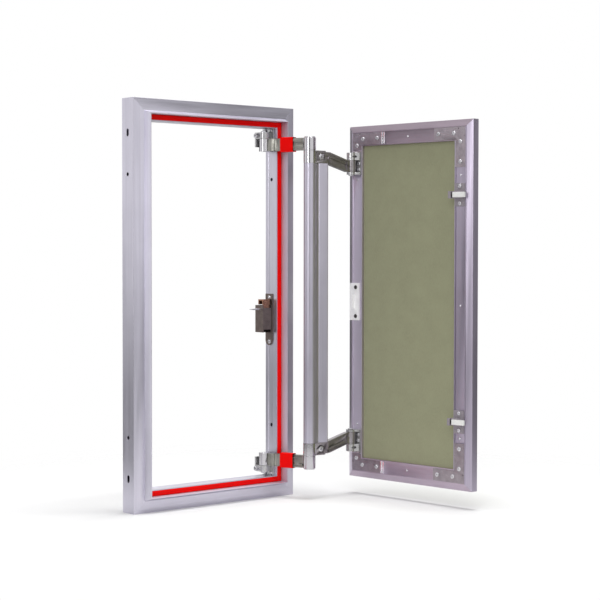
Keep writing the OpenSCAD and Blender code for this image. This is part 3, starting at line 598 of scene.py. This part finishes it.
def make_finish(name):
    """One material by the name of its finish."""
    colours = bpy.context.scene.access_panel_colours
    frame_metal = tuple(colours.frame_metal)
    door_metal = tuple(colours.door_metal)
    casting = tuple(colours.casting)
    steel = srgb(214, 213, 217)
    makers = {
        "frame_upright": lambda: extruded_metal(name, frame_metal, 2, flange_wall(0)),
        "frame_level": lambda: extruded_metal(name, frame_metal, 0, flange_wall(2)),
        # Painted light and painted shade: the door's four extrusions are one aluminium, tinted
        # lighter for the hinge stile and darker and warmer for the free stile and the rails.
        "door_upright_painted_light": lambda: extruded_metal(name, tinted(door_metal, (1.07, 1.06, 1.04)), 2),
        "free_upright_painted_shade": lambda: extruded_metal(name, tinted(door_metal, (0.74, 0.72, 0.75)), 2),
        "door_level_painted_shade": lambda: extruded_metal(name, tinted(door_metal, (0.56, 0.5, 0.5)), 1),
        "door_foot_painted_shade": lambda: extruded_metal(name, tinted(door_metal, (0.86, 0.78, 0.8)), 1),
        "tie_metal": lambda: extruded_metal(name, tuple(colours.tie_metal), 2),
        "casting": lambda: cast_metal(
            name, casting, (pivot_of("arm_swing"), pivot_of("elbow_swing"))),
        # The door arms are the same casting as the frame arms in a lighter, bluer tint: painted
        # light.
        "door_casting_painted_light": lambda: cast_metal(
            name, tinted(casting, (1.2, 1.14, 1.32)), (pivot_of("elbow_swing"),)),
        "bracket": lambda: plated_steel(name, srgb(188, 187, 188), 0.16, 0.72),
        "keys": lambda: cast_metal(name, scaled(casting, 0.9)),
        "steel": lambda: plated_steel(name, steel),
        "dark_steel": lambda: plated_steel(name, srgb(96, 93, 92), 0.36),
        "bright_steel": lambda: plated_steel(name, srgb(232, 231, 236), 0.14),
        "corner_steel": lambda: plated_steel(name, srgb(160, 152, 158), 0.3),
        "latch_steel": lambda: plated_steel(name, tuple(colours.latch), 0.4),
        # Near-black steel for the hollow inside the latch case: painted shade.
        "shade": lambda: plated_steel(name, srgb(30, 26, 26), 0.6),
        "copper": lambda: plated_steel(name, srgb(178, 134, 112), 0.26),
        "seal": lambda: seal_rubber(name, tuple(colours.seal)),
        "sleeve": lambda: seal_rubber(name, tuple(colours.seal), 0.1),
        "board": lambda: board_paper(name, tuple(colours.board)),
        "strike": lambda: moulded_plastic(name, srgb(254, 253, 254), 0.3),
        "catch": lambda: moulded_plastic(name, srgb(150, 143, 150), 0.25, 0.1),
        "tongue": lambda: moulded_plastic(name, srgb(240, 240, 238), 0.28, 0.1),
    }
    return makers[name]()


# Pieces


def flange_wall(direction):
    """The inner walls of the frame's flange across X (0) or Z (2), beside the seal's edges."""
    margin = 1.0 * MM
    low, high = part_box("frame_seal")
    middle = (low[direction] + high[direction]) / 2
    return direction, middle, (high[direction] - low[direction]) / 2 + margin


def pivot_of(joint):
    """The place of a hinge's axis, in metres."""
    return np.array(JOINTS[joint]["pos_m"], float)


def way_between(first, second):
    """The level unit direction from one hinge to another."""
    way = (pivot_of(second) - pivot_of(first)) * [1, 1, 0]
    return way / np.linalg.norm(way)


def beside(way):
    """The level direction to the right of a level direction."""
    return np.array([way[1], -way[0], 0])


class ACCESS_OT_frame_profiles(bpy.types.Operator):
    """Finishes the four mitred lengths of the wall frame and the keys inside them"""

    bl_idname = "access_panel.frame_profiles"
    bl_label = "Frame profiles"

    def execute(self, context):
        sizes = context.scene.access_panel_sizes
        for node in ("frame_left", "frame_right"):
            finished(node, finish_of("frame_upright"), sizes.edge_round)
        for node in ("frame_top", "frame_bottom"):
            finished(node, finish_of("frame_level"), sizes.edge_round)
        finished("frame_corner_keys", finish_of("keys"), sizes.edge_round)
        return {"FINISHED"}


class ACCESS_OT_seal(bpy.types.Operator):
    """Makes the rubber seal round the opening"""

    bl_idname = "access_panel.seal"
    bl_label = "Seal"
    flap = 0.85 * MM

    def execute(self, context):
        sizes = context.scene.access_panel_sizes
        points, faces = self.strip(sizes.lobe_depth)
        piece = new_piece(
            "frame_seal_strip", points, faces, finish_of("seal"), *on_body_of("frame_seal"), 50.0)
        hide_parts("frame_seal")
        return {"FINISHED"}

    def strip(self, groove):
        """A two-lobed strip round a rectangle.

        Across the strip, the height over the seat is a superellipse less a groove in its middle,
        and each point is carried round the rectangle at its own distance from the outer edge, so
        the corners are mitred.
        """
        per_side, groove_share = 40, 0.16
        low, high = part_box("frame_seal")
        margin = Vector((self.flap, 0, self.flap))
        low, high = low - margin, high + margin
        width = seal_width() + self.flap
        bend = np.linspace(0.12, 1, 19) * math.pi
        across = np.concatenate([[0.0], 0.5 - 0.5 * np.cos(bend), [1.0]])
        middle = 2 * across - 1
        rise = (high.y - low.y) * (1 - np.abs(middle) ** 6) ** (1 / 3)
        rise -= groove * np.exp(-((middle / groove_share) ** 2))
        inset = np.concatenate([across * width, (across * width)[::-1][1:-1]])
        height = np.concatenate([rise, np.zeros(len(across) - 2)])
        corner = np.stack([
            together(low.x + inset, low.z + inset), together(high.x - inset, low.z + inset),
            together(high.x - inset, high.z - inset), together(low.x + inset, high.z - inset)])
        share = np.linspace(0, 1, per_side, endpoint=False)[None, :, None, None]
        after = np.roll(corner, -1, axis=0)
        rings = corner[:, None] * (1 - share) + after[:, None] * share
        rings = rings.reshape(-1, len(inset), 2)
        points = together(rings[..., 0], high.y - height, rings[..., 1]).reshape(-1, 3)
        return points, grid_quads(len(rings), len(inset), wrap_rows=True, wrap_columns=True)


def seal_width():
    """Width of the seal, from its outer edge to the frame's clear opening."""
    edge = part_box("frame_seal")[0].x
    return first_step(solids_of("frame_seal")[0][:, 0], edge)


def first_step(values, edge):
    """How far the next different value lies from the lowest one."""
    steps = np.unique(np.round(values, 5))
    return float(steps[steps > edge + 0.1 * MM].min() - edge)


class ACCESS_OT_arms(bpy.types.Operator):
    """Finishes the cast arms, their brackets, pins and washers"""

    bl_idname = "access_panel.arms"
    bl_label = "Arms and brackets"

    def execute(self, context):
        sizes = context.scene.access_panel_sizes
        first = beside(way_between("arm_swing", "elbow_swing"))
        second = beside(way_between("elbow_swing", "door_swing"))
        for place in ("upper", "lower"):
            piece = finished("frame_arm_" + place, finish_of("casting"), sizes.edge_round)
            grooved(piece, first, sizes.web_height, sizes.web_depth)
            # The door arms' lighter, bluer tint of the casting is painted light.
            piece = finished("door_arm_" + place, finish_of("door_casting_painted_light"), sizes.cast_round, 4)
            grooved(piece, second, sizes.web_height, sizes.web_depth)
            for node in ("frame_bracket_", "door_bracket_"):
                finished(node + place, finish_of("bracket"), sizes.edge_round)
        for node in ("frame_pivot_pins", "elbow_pins", "elbow_washers", "door_pivot_pins"):
            finished(node, finish_of("steel"), sizes.fine_round)
        points, faces = self.bar()
        piece = new_piece(
            "tie_bar_length", points, faces, finish_of("tie_metal"), *on_body_of("tie_bar"), 30.0)
        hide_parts("tie_bar")
        finished("frame_adjusting_screws", finish_of("steel"), sizes.fine_round)
        return {"FINISHED"}

    def bar(self):
        """The fluted tie bar: its outline in the plane of the arms, swept upright.

        The outline is the knuckle's arc, then on each long side a groove and two teeth whose
        depth falls in a straight line from crest to foot, all inside the solid's own outline.
        """
        end_wall = 4 * MM
        low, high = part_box("tie_bar")
        along = way_between("elbow_swing", "door_swing")
        across = -beside(along)
        middle = pivot_of("elbow_swing")
        local = solids_of("tie_bar")[0] - middle
        reach = (local @ along).max()
        half = (local @ across)[local @ along > reach - end_wall].max()
        knuckle = -(local @ along).min()
        start = np.array([0.30, 0.36, 0.45, 0.47, 0.70, 0.715, 0.94, 1.0]) * reach
        rise = half * np.array([0.80, 0.68, 0.68, 0.78, 0.985, 0.8, 1.0, 0.9])
        bend = np.linspace(math.radians(62), math.radians(298), 40)
        arc = np.stack([knuckle * np.cos(bend), knuckle * np.sin(bend)], -1)
        front = np.stack([start, -rise], -1)
        outline = np.concatenate([arc, front, front[::-1] * [1, -1]])
        count = len(outline)
        level = middle[:2] + outline @ np.stack([along, across])[:, :2]
        height = np.repeat([low.z, high.z], count)
        points = np.column_stack([np.tile(level, (2, 1)), height])
        faces = grid_quads(2, count, wrap_columns=True).tolist()
        faces += [list(range(count)), list(range(count, 2 * count))]
        return points, faces


class ACCESS_OT_sleeves(bpy.types.Operator):
    """Makes the barrel-shaped rubber sleeves on the frame arms"""

    bl_idname = "access_panel.sleeves"
    bl_label = "Arm sleeves"

    def execute(self, context):
        for place in ("upper", "lower"):
            node = "arm_sleeve_" + place
            points, faces = self.barrel(node)
            piece = new_piece(
                node + "_barrel", points, faces, finish_of("sleeve"), *on_body_of(node), 60.0)
            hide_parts(node)
        return {"FINISHED"}

    def barrel(self, node):
        """A closed sleeve along the arm with a moulded dimple.

        Every ring is a superellipse. The outer one narrows with the fourth power of the distance
        from the middle and the inner one stays the arm's own size, and a bell-shaped hollow is
        taken out of the side that faces the opening.
        """
        around, rings = 96, 33
        outer_power, inner_power = 7, 24
        dimple = 1.5 * MM
        along = way_between("arm_swing", "elbow_swing")
        turn = np.stack([along, beside(along), [0, 0, 1]], 1)
        local = solids_of(node)[0] @ turn
        low, high = local.min(0), local.max(0)
        middle, half = (low + high) / 2, (high - low) / 2
        wall = first_step(local[:, 1], low[1])
        angle = np.linspace(0, FULL_TURN, around, endpoint=False)[None, :]
        share = np.linspace(-1, 1, rings)[:, None]
        length = half[0] * share
        shrink = wall * 0.55 * share ** 4
        side, rise = superellipse(angle, half[1] - shrink, half[2] - shrink, outer_power)
        hollow = np.exp(-((length - 0.1 * half[0]) ** 2 + rise ** 2) / dimple ** 2)
        outer = together(length, side - np.sign(side) * hollow * wall * 0.5, rise)
        side, rise = superellipse(angle, half[1] - wall, half[2] - wall, inner_power)
        surface = np.concatenate([outer, together(length, side, rise)[::-1]])
        points = (surface.reshape(-1, 3) + middle) @ turn.T
        return points, grid_quads(2 * rings, around, wrap_rows=True, wrap_columns=True)


class ACCESS_OT_latch(bpy.types.Operator):
    """Finishes the push latch and winds its spring"""

    bl_idname = "access_panel.latch"
    bl_label = "Latch"

    def execute(self, context):
        sizes = context.scene.access_panel_sizes
        finished("latch_plate", finish_of("latch_steel"), sizes.edge_round)
        case = finished("latch_case", finish_of("latch_steel"), sizes.edge_round)
        # Painted shade: the faces inside the latch case are made near black.
        blacken_inside(case, finish_of("shade"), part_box("latch_case"))
        finished("latch_hook", finish_of("copper"), sizes.edge_round)
        finished("latch_pivot_pin", finish_of("steel"), sizes.fine_round)
        wind_spring("latch_spring", 7.0, sizes.coil_sides, (0, 0, -1))
        return {"FINISHED"}


def blacken_inside(piece, material, box):
    """Gives the faces that lie inside a box, off all its sides, a near-black material of their
    own, as painted shade.
    """
    piece.data.materials.append(material)
    low, high = box
    skin = 0.3 * MM
    for face in piece.data.polygons:
        if all(low[k] + skin < face.center[k] < high[k] - skin for k in range(3)):
            face.material_index = 1


def wind_spring(node, turns, sides, seat):
    """A wound spring in place of a node: a tube along a helix with its end turns closed up.

    The height along the axis follows the turn, slower in the end turns, so that the coils at
    both ends lie close together. The axis is the longest side of the node's solid, or the way to
    the seat where the solid is short.
    """
    steps_per_turn, wire_share, end_pitch = 28, 0.16, 0.5
    points = solids_of(node)[0]
    centre = (points.min(0) + points.max(0)) / 2
    offsets = points - centre
    seat = np.array(seat, float) / np.linalg.norm(seat)
    values, axes = np.linalg.eigh(np.cov(offsets.T))
    axis = axes[:, np.argmax(values)]
    length, outer = span(offsets, axis)
    if length < 2 * outer:
        axis = seat
        length, outer = span(offsets, axis)
    wire = outer * wire_share
    turn = np.linspace(0, 1, int(turns * steps_per_turn))
    ends = 1 / turns
    slow = ends / 2 * end_pitch
    rise = np.interp(turn, [0, ends, 1 - ends, 1], [0, slow, 1 - slow, 1])
    angle = FULL_TURN * turns * turn
    path = np.stack([
        (outer - wire) * np.cos(angle), (outer - wire) * np.sin(angle),
        (rise - 0.5) * (length - 2 * wire)], -1)
    coil, faces = tube(path, wire, sides, (0, 0, 1))
    coil = coil @ turned_to(axis).T + centre
    piece = new_piece(
        node + "_coil", coil, faces, finish_of("dark_steel"), *on_body_of(node), 60.0)
    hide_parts(node)
    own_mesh(piece)


def span(offsets, axis):
    """The length of some points along an axis, and their greatest distance from it."""
    along = offsets @ axis
    return np.ptp(along), np.linalg.norm(offsets - np.outer(along, axis), axis=1).max()


class ACCESS_OT_door_profiles(bpy.types.Operator):
    """Finishes the door's extrusions, board, corner plates and clips"""

    bl_idname = "access_panel.door_profiles"
    bl_label = "Door profiles and board"

    def execute(self, context):
        sizes = context.scene.access_panel_sizes
        # Each door extrusion takes its own lighter or darker tint of the door metal: painted light
        # and painted shade.
        finished("door_hinge_stile", finish_of("door_upright_painted_light"), sizes.fine_round)
        finished("door_free_stile", finish_of("free_upright_painted_shade"), sizes.fine_round)
        finished("door_top", finish_of("door_level_painted_shade"), sizes.fine_round)
        finished("door_bottom", finish_of("door_foot_painted_shade"), sizes.fine_round)
        finished("door_board", finish_of("board"), sizes.edge_round)
        for side in ("hinge", "free"):
            for end in ("top", "bottom"):
                finished(f"corner_plate_{side}_{end}", finish_of("corner_steel"), sizes.edge_round)
        finished("board_clips", finish_of("bright_steel"), sizes.fine_round)
        finished("rail_rivets", finish_of("steel"), 0)
        return {"FINISHED"}


class ACCESS_OT_catches(bpy.types.Operator):
    """Finishes the strike plate and the two side catches, and winds the catch springs"""

    bl_idname = "access_panel.catches"
    bl_label = "Strike and catches"

    def execute(self, context):
        sizes = context.scene.access_panel_sizes
        finished("strike_plate", finish_of("strike"), sizes.edge_round)
        for place in ("upper", "lower"):
            finished("catch_base_" + place, finish_of("catch"), sizes.edge_round)
            finished("catch_tongue_" + place, finish_of("tongue"), sizes.edge_round, 3)
            joint = "catch_slide_" + place
            wind_spring("catch_spring_" + place, 4.0, sizes.coil_sides,
                        JOINTS[joint]["axis"])
        return {"FINISHED"}


class ACCESS_OT_screws(bpy.types.Operator):
    """Makes the cross-head screws"""

    bl_idname = "access_panel.screws"
    bl_label = "Screws"

    def execute(self, context):
        off_door = -beside(JOINTS["catch_slide_upper"]["axis"])
        off_bar = beside(way_between("elbow_swing", "door_swing"))
        rows = (
            ("frame_bracket_screws", (-1, 0, 0), "steel"),
            ("latch_screws", (-1, 0, 0), "steel"),
            ("corner_plate_screws", off_door, "steel"),
            ("door_bracket_screws", off_door, "steel"),
            ("strike_screws", off_door, "dark_steel"),
            ("catch_screws", off_door, "steel"),
            ("tie_bar_screws", off_bar, "steel"),
        )
        for node, direction, finish in rows:
            self.heads(context, node, direction, finish)
        return {"FINISHED"}

    def heads(self, context, node, direction, finish):
        """A screw in place of each solid of a node, each with its own turn of the driver."""
        sides = context.scene.access_panel_sizes.screw_sides
        way = np.array(direction, float)
        way = way / np.linalg.norm(way)
        made = []
        for number, points in enumerate(solids_of(node)):
            along = points @ way
            centre = (points.min(0) + points.max(0)) / 2
            middle = centre - way * (centre @ way)
            reach = np.linalg.norm(points - middle - np.outer(along, way), axis=1)
            radius = reach.max()
            seat = along[reach > radius * 0.97].min()
            head = along.max() - seat
            shank = reach[along < seat - 0.2 * head].max(initial=radius * 0.5)
            shape, faces = screw(radius, head, shank, seat - along.min(), sides)
            spin = 1.9 * number + 0.4
            made.append((shape @ turned_to(way, spin).T + middle + way * seat, faces))
        points, faces = joined(made)
        piece = new_piece(node + "_heads", points, faces, finish_of(finish), *on_body_of(node))
        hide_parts(node)


def screw(radius, head, shank, length, sides):
    """A pan-head screw with a cross recess.

    The head is a quarter superellipse turned about Z, and inside the recess, where a point is
    nearer to either centre line than half the slot's width, the surface drops in a smooth step.
    """
    slot, arm, deep = radius * 0.17, radius * 0.68, head * 0.8
    bend = np.linspace(0, 0.5 * math.pi, 26)
    rim = radius * np.cos(bend) ** 0.7
    top = head * (0.3 + 0.7 * np.sin(bend) ** 0.8)
    profile = np.concatenate([
        [[0, -length], [shank * 0.7, -length], [shank, -length + shank * 0.4], [shank, 0],
         [radius * 0.96, 0]],
        np.stack([rim, top], 1)[:-1], [[0, head]]])
    points, faces = lathe(profile, sides)
    x, y, z = points.T
    near = np.minimum(np.abs(x), np.abs(y))
    far = np.maximum(np.abs(x), np.abs(y))
    inside = np.clip((slot * 1.25 - near) / (slot * 0.5), 0, 1)
    inside *= np.clip((arm - far) / (slot * 0.6), 0, 1)
    inside *= z > head * 0.3
    return np.stack([x, y, z - inside * deep], 1), faces


# Stage

MIDDLE = (0.08, -0.1)
WHITE = (1, 1, 1, 1)

# Each lamp's name, place and aim in metres, width in metres and power in watts
LAMPS = (
    ("key_lamp", (-1.5, -1.7, 2.1), (0.05, -0.1, 0.3), 1.6, 16),
    ("top_lamp", (0.22, -0.2, 2.4), (0.2, -0.2, 0), 0.8, 40),
    ("strip_lamp", (-2.3, -1.03, 0.85), (0.24, -0.32, 0.5), 0.5, 5),
)

# Each studio flag's start and end bearing in degrees, foot, top and distance in metres, and shade.
# The last one is the dim ground that stands all round below the horizon.
FLAGS = (
    (-48.0, -8.0, 0.03, 1.1, 2.7, 0.3),
    (-66.0, -24.0, 1.08, 2.5, 2.7, 0.17),
    (218.0, 234.0, 0.05, 1.6, 2.7, 0.12),
    (76.0, 114.0, 0.05, 1.5, 2.7, 0.1),
    (0.0, 360.0, -1.3, 0.08, 3.0, 0.14),
)


class ACCESS_OT_stage(bpy.types.Operator):
    """Sets the floor, the soft lamps, the white surroundings and the camera"""

    bl_idname = "access_panel.stage"
    bl_label = "Studio"

    def execute(self, context):
        scene = context.scene
        scene.view_settings.view_transform = "Standard"
        self.surroundings(scene)
        self.floor()
        for facts in LAMPS:
            lamp(*facts)
        for number, facts in enumerate(FLAGS):
            flag(f"flag_{number + 1}", *facts)
        self.camera(scene)
        return {"FINISHED"}

    def surroundings(self, scene):
        """White to the camera and in reflections, and plain soft light on the object."""
        world = bpy.data.worlds.new("studio")
        scene.world = world
        tree = StageTree(world)
        mirrored = tree.node("ShaderNodeMath", {
            0: tree.light_rays("Is Glossy Ray"), 1: tree.light_rays("Is Transmission Ray")},
            operation="MAXIMUM").outputs[0]
        seen = tree.node("ShaderNodeMath", {
            0: tree.light_rays("Is Camera Ray"), 1: mirrored}, operation="MAXIMUM").outputs[0]
        soft, white = (
            tree.node("ShaderNodeBackground", {"Color": WHITE, "Strength": strength}).outputs[0]
            for strength in (0.46, 1.0))
        tree.node("ShaderNodeOutputWorld", {"Surface": tree.mixed(seen, soft, white)})

    def floor(self):
        """A pale floor that fades into the white surroundings away from the object."""
        half, glow = 3.0, 0.04
        mesh = bpy.data.meshes.new("floor")
        mesh.from_pydata(
            [(-half, -half, 0), (half, -half, 0), (half, half, 0), (-half, half, 0)], [],
            [(0, 1, 2, 3)])
        floor = bpy.data.objects.new("floor", mesh)
        bpy.context.scene.collection.objects.link(floor)
        material = bpy.data.materials.new("pale_floor")
        tree = StageTree(material)
        place = tree.node("ShaderNodeTexCoord").outputs["Object"]
        distance = tree.node("ShaderNodeVectorMath", {0: place, 1: (0.08, -0.12, 0)},
                             operation="DISTANCE").outputs["Value"]
        fade = tree.node("ShaderNodeMapRange", {
            "From Min": 0.42, "From Max": 0.8, "Value": distance},
            interpolation_type="SMOOTHSTEP").outputs["Result"]
        paint = tree.node("ShaderNodeBsdfDiffuse", {"Color": (0.86, 0.86, 0.86, 1)})
        strength = tree.node("ShaderNodeMath", {
            0: tree.light_rays("Is Camera Ray"), 1: glow}, operation="MULTIPLY").outputs[0]
        light = tree.node("ShaderNodeEmission", {"Color": WHITE, "Strength": strength})
        lit = tree.node("ShaderNodeAddShader", {0: paint.outputs[0], 1: light.outputs[0]})
        clear = tree.node("ShaderNodeBsdfTransparent").outputs[0]
        tree.node("ShaderNodeOutputMaterial", {
            "Surface": tree.mixed(fade, lit.outputs[0], clear)})
        mesh.materials.append(material)

    def camera(self, scene):
        """A long lens low on the left, as the photograph was taken."""
        place = (-1.457856, -1.912489, 0.384832)
        view = bpy.data.cameras.new("camera")
        view.sensor_width = 36.0
        view.lens = 95.975
        camera = bpy.data.objects.new("camera", view)
        scene.collection.objects.link(camera)
        turn, tilt, roll = 0.707, 0.0327, 0.0011
        forward = Vector((math.sin(turn) * math.cos(tilt), math.cos(turn) * math.cos(tilt),
                          -math.sin(tilt)))
        right = Vector((math.cos(turn), -math.sin(turn), 0))
        up = right.cross(forward)
        leaned = right * math.cos(roll) + up * math.sin(roll)
        upright = up * math.cos(roll) - right * math.sin(roll)
        axes = Matrix((leaned, upright, -forward)).transposed().to_4x4()
        camera.matrix_world = Matrix.Translation(place) @ axes
        scene.camera = camera


def flag(name, start, end, foot, top, reach, shade):
    """A dark upright flag that only reflections see.

    It is part of a cylinder wall round the object: the bearing runs from start to end in one
    direction and the height from foot to top in the other.
    """
    columns, rows = 73, 4
    bearing = np.radians(np.linspace(start, end, columns))[:, None]
    height = np.linspace(foot, top, rows)
    points = together(MIDDLE[0] + reach * np.cos(bearing), MIDDLE[1] + reach * np.sin(bearing),
                      height).reshape(-1, 3)
    mesh = bpy.data.meshes.new(name)
    mesh.from_pydata(points.tolist(), [], grid_quads(columns, rows).tolist())
    made = bpy.data.objects.new(name, mesh)
    bpy.context.scene.collection.objects.link(made)
    material = bpy.data.materials.new(name)
    tree = StageTree(material)
    cloth = tree.node("ShaderNodeEmission", {"Color": (shade, shade, shade, 1)})
    tree.node("ShaderNodeOutputMaterial", {"Surface": cloth.outputs[0]})
    mesh.materials.append(material)
    for kind in ("camera", "diffuse", "transmission", "shadow", "volume_scatter"):
        setattr(made, "visible_" + kind, False)


def lamp(name, place, aim, size, watts):
    """A square soft lamp that faces a point."""
    light = bpy.data.lights.new(name, "AREA")
    light.shape = "SQUARE"
    light.size = size
    light.energy = watts
    made = bpy.data.objects.new(name, light)
    bpy.context.scene.collection.objects.link(made)
    made.location = place
    made.rotation_euler = (Vector(aim) - Vector(place)).to_track_quat("-Z", "Y").to_euler()


class ACCESS_PT_panel(bpy.types.Panel):
    """Lists the access panel's steps in the sidebar"""

    bl_label = "Access panel"
    bl_idname = "ACCESS_PT_panel"
    bl_space_type = "VIEW_3D"
    bl_region_type = "UI"
    bl_category = "Access panel"

    def draw(self, context):
        layout = self.layout
        for group in (context.scene.access_panel_colours, context.scene.access_panel_sizes):
            for name in group.bl_rna.properties.keys():
                if name not in ("rna_type", "name"):
                    layout.prop(group, name)
        for step in STEPS:
            layout.operator(step.bl_idname)


STEPS = (
    ACCESS_OT_stage,
    ACCESS_OT_frame_profiles,
    ACCESS_OT_seal,
    ACCESS_OT_arms,
    ACCESS_OT_sleeves,
    ACCESS_OT_latch,
    ACCESS_OT_door_profiles,
    ACCESS_OT_catches,
    ACCESS_OT_screws,
)
CLASSES = (AccessPanelColours, AccessPanelSizes, *STEPS, ACCESS_PT_panel)


def register():
    """Registers the classes and hangs the settings on the scene."""
    for each in CLASSES:
        bpy.utils.register_class(each)
    bpy.types.Scene.access_panel_colours = PointerProperty(type=AccessPanelColours)
    bpy.types.Scene.access_panel_sizes = PointerProperty(type=AccessPanelSizes)


def unregister():
    """Takes the settings and the classes away again."""
    del bpy.types.Scene.access_panel_sizes
    del bpy.types.Scene.access_panel_colours
    for each in reversed(CLASSES):
        bpy.utils.unregister_class(each)


def main():
    """Runs every step in order."""
    register()
    bpy.ops.access_panel.stage()
    bpy.ops.access_panel.frame_profiles()
    bpy.ops.access_panel.seal()
    bpy.ops.access_panel.arms()
    bpy.ops.access_panel.sleeves()
    bpy.ops.access_panel.latch()
    bpy.ops.access_panel.door_profiles()
    bpy.ops.access_panel.catches()
    bpy.ops.access_panel.screws()


if __name__ == "__main__":
    main()
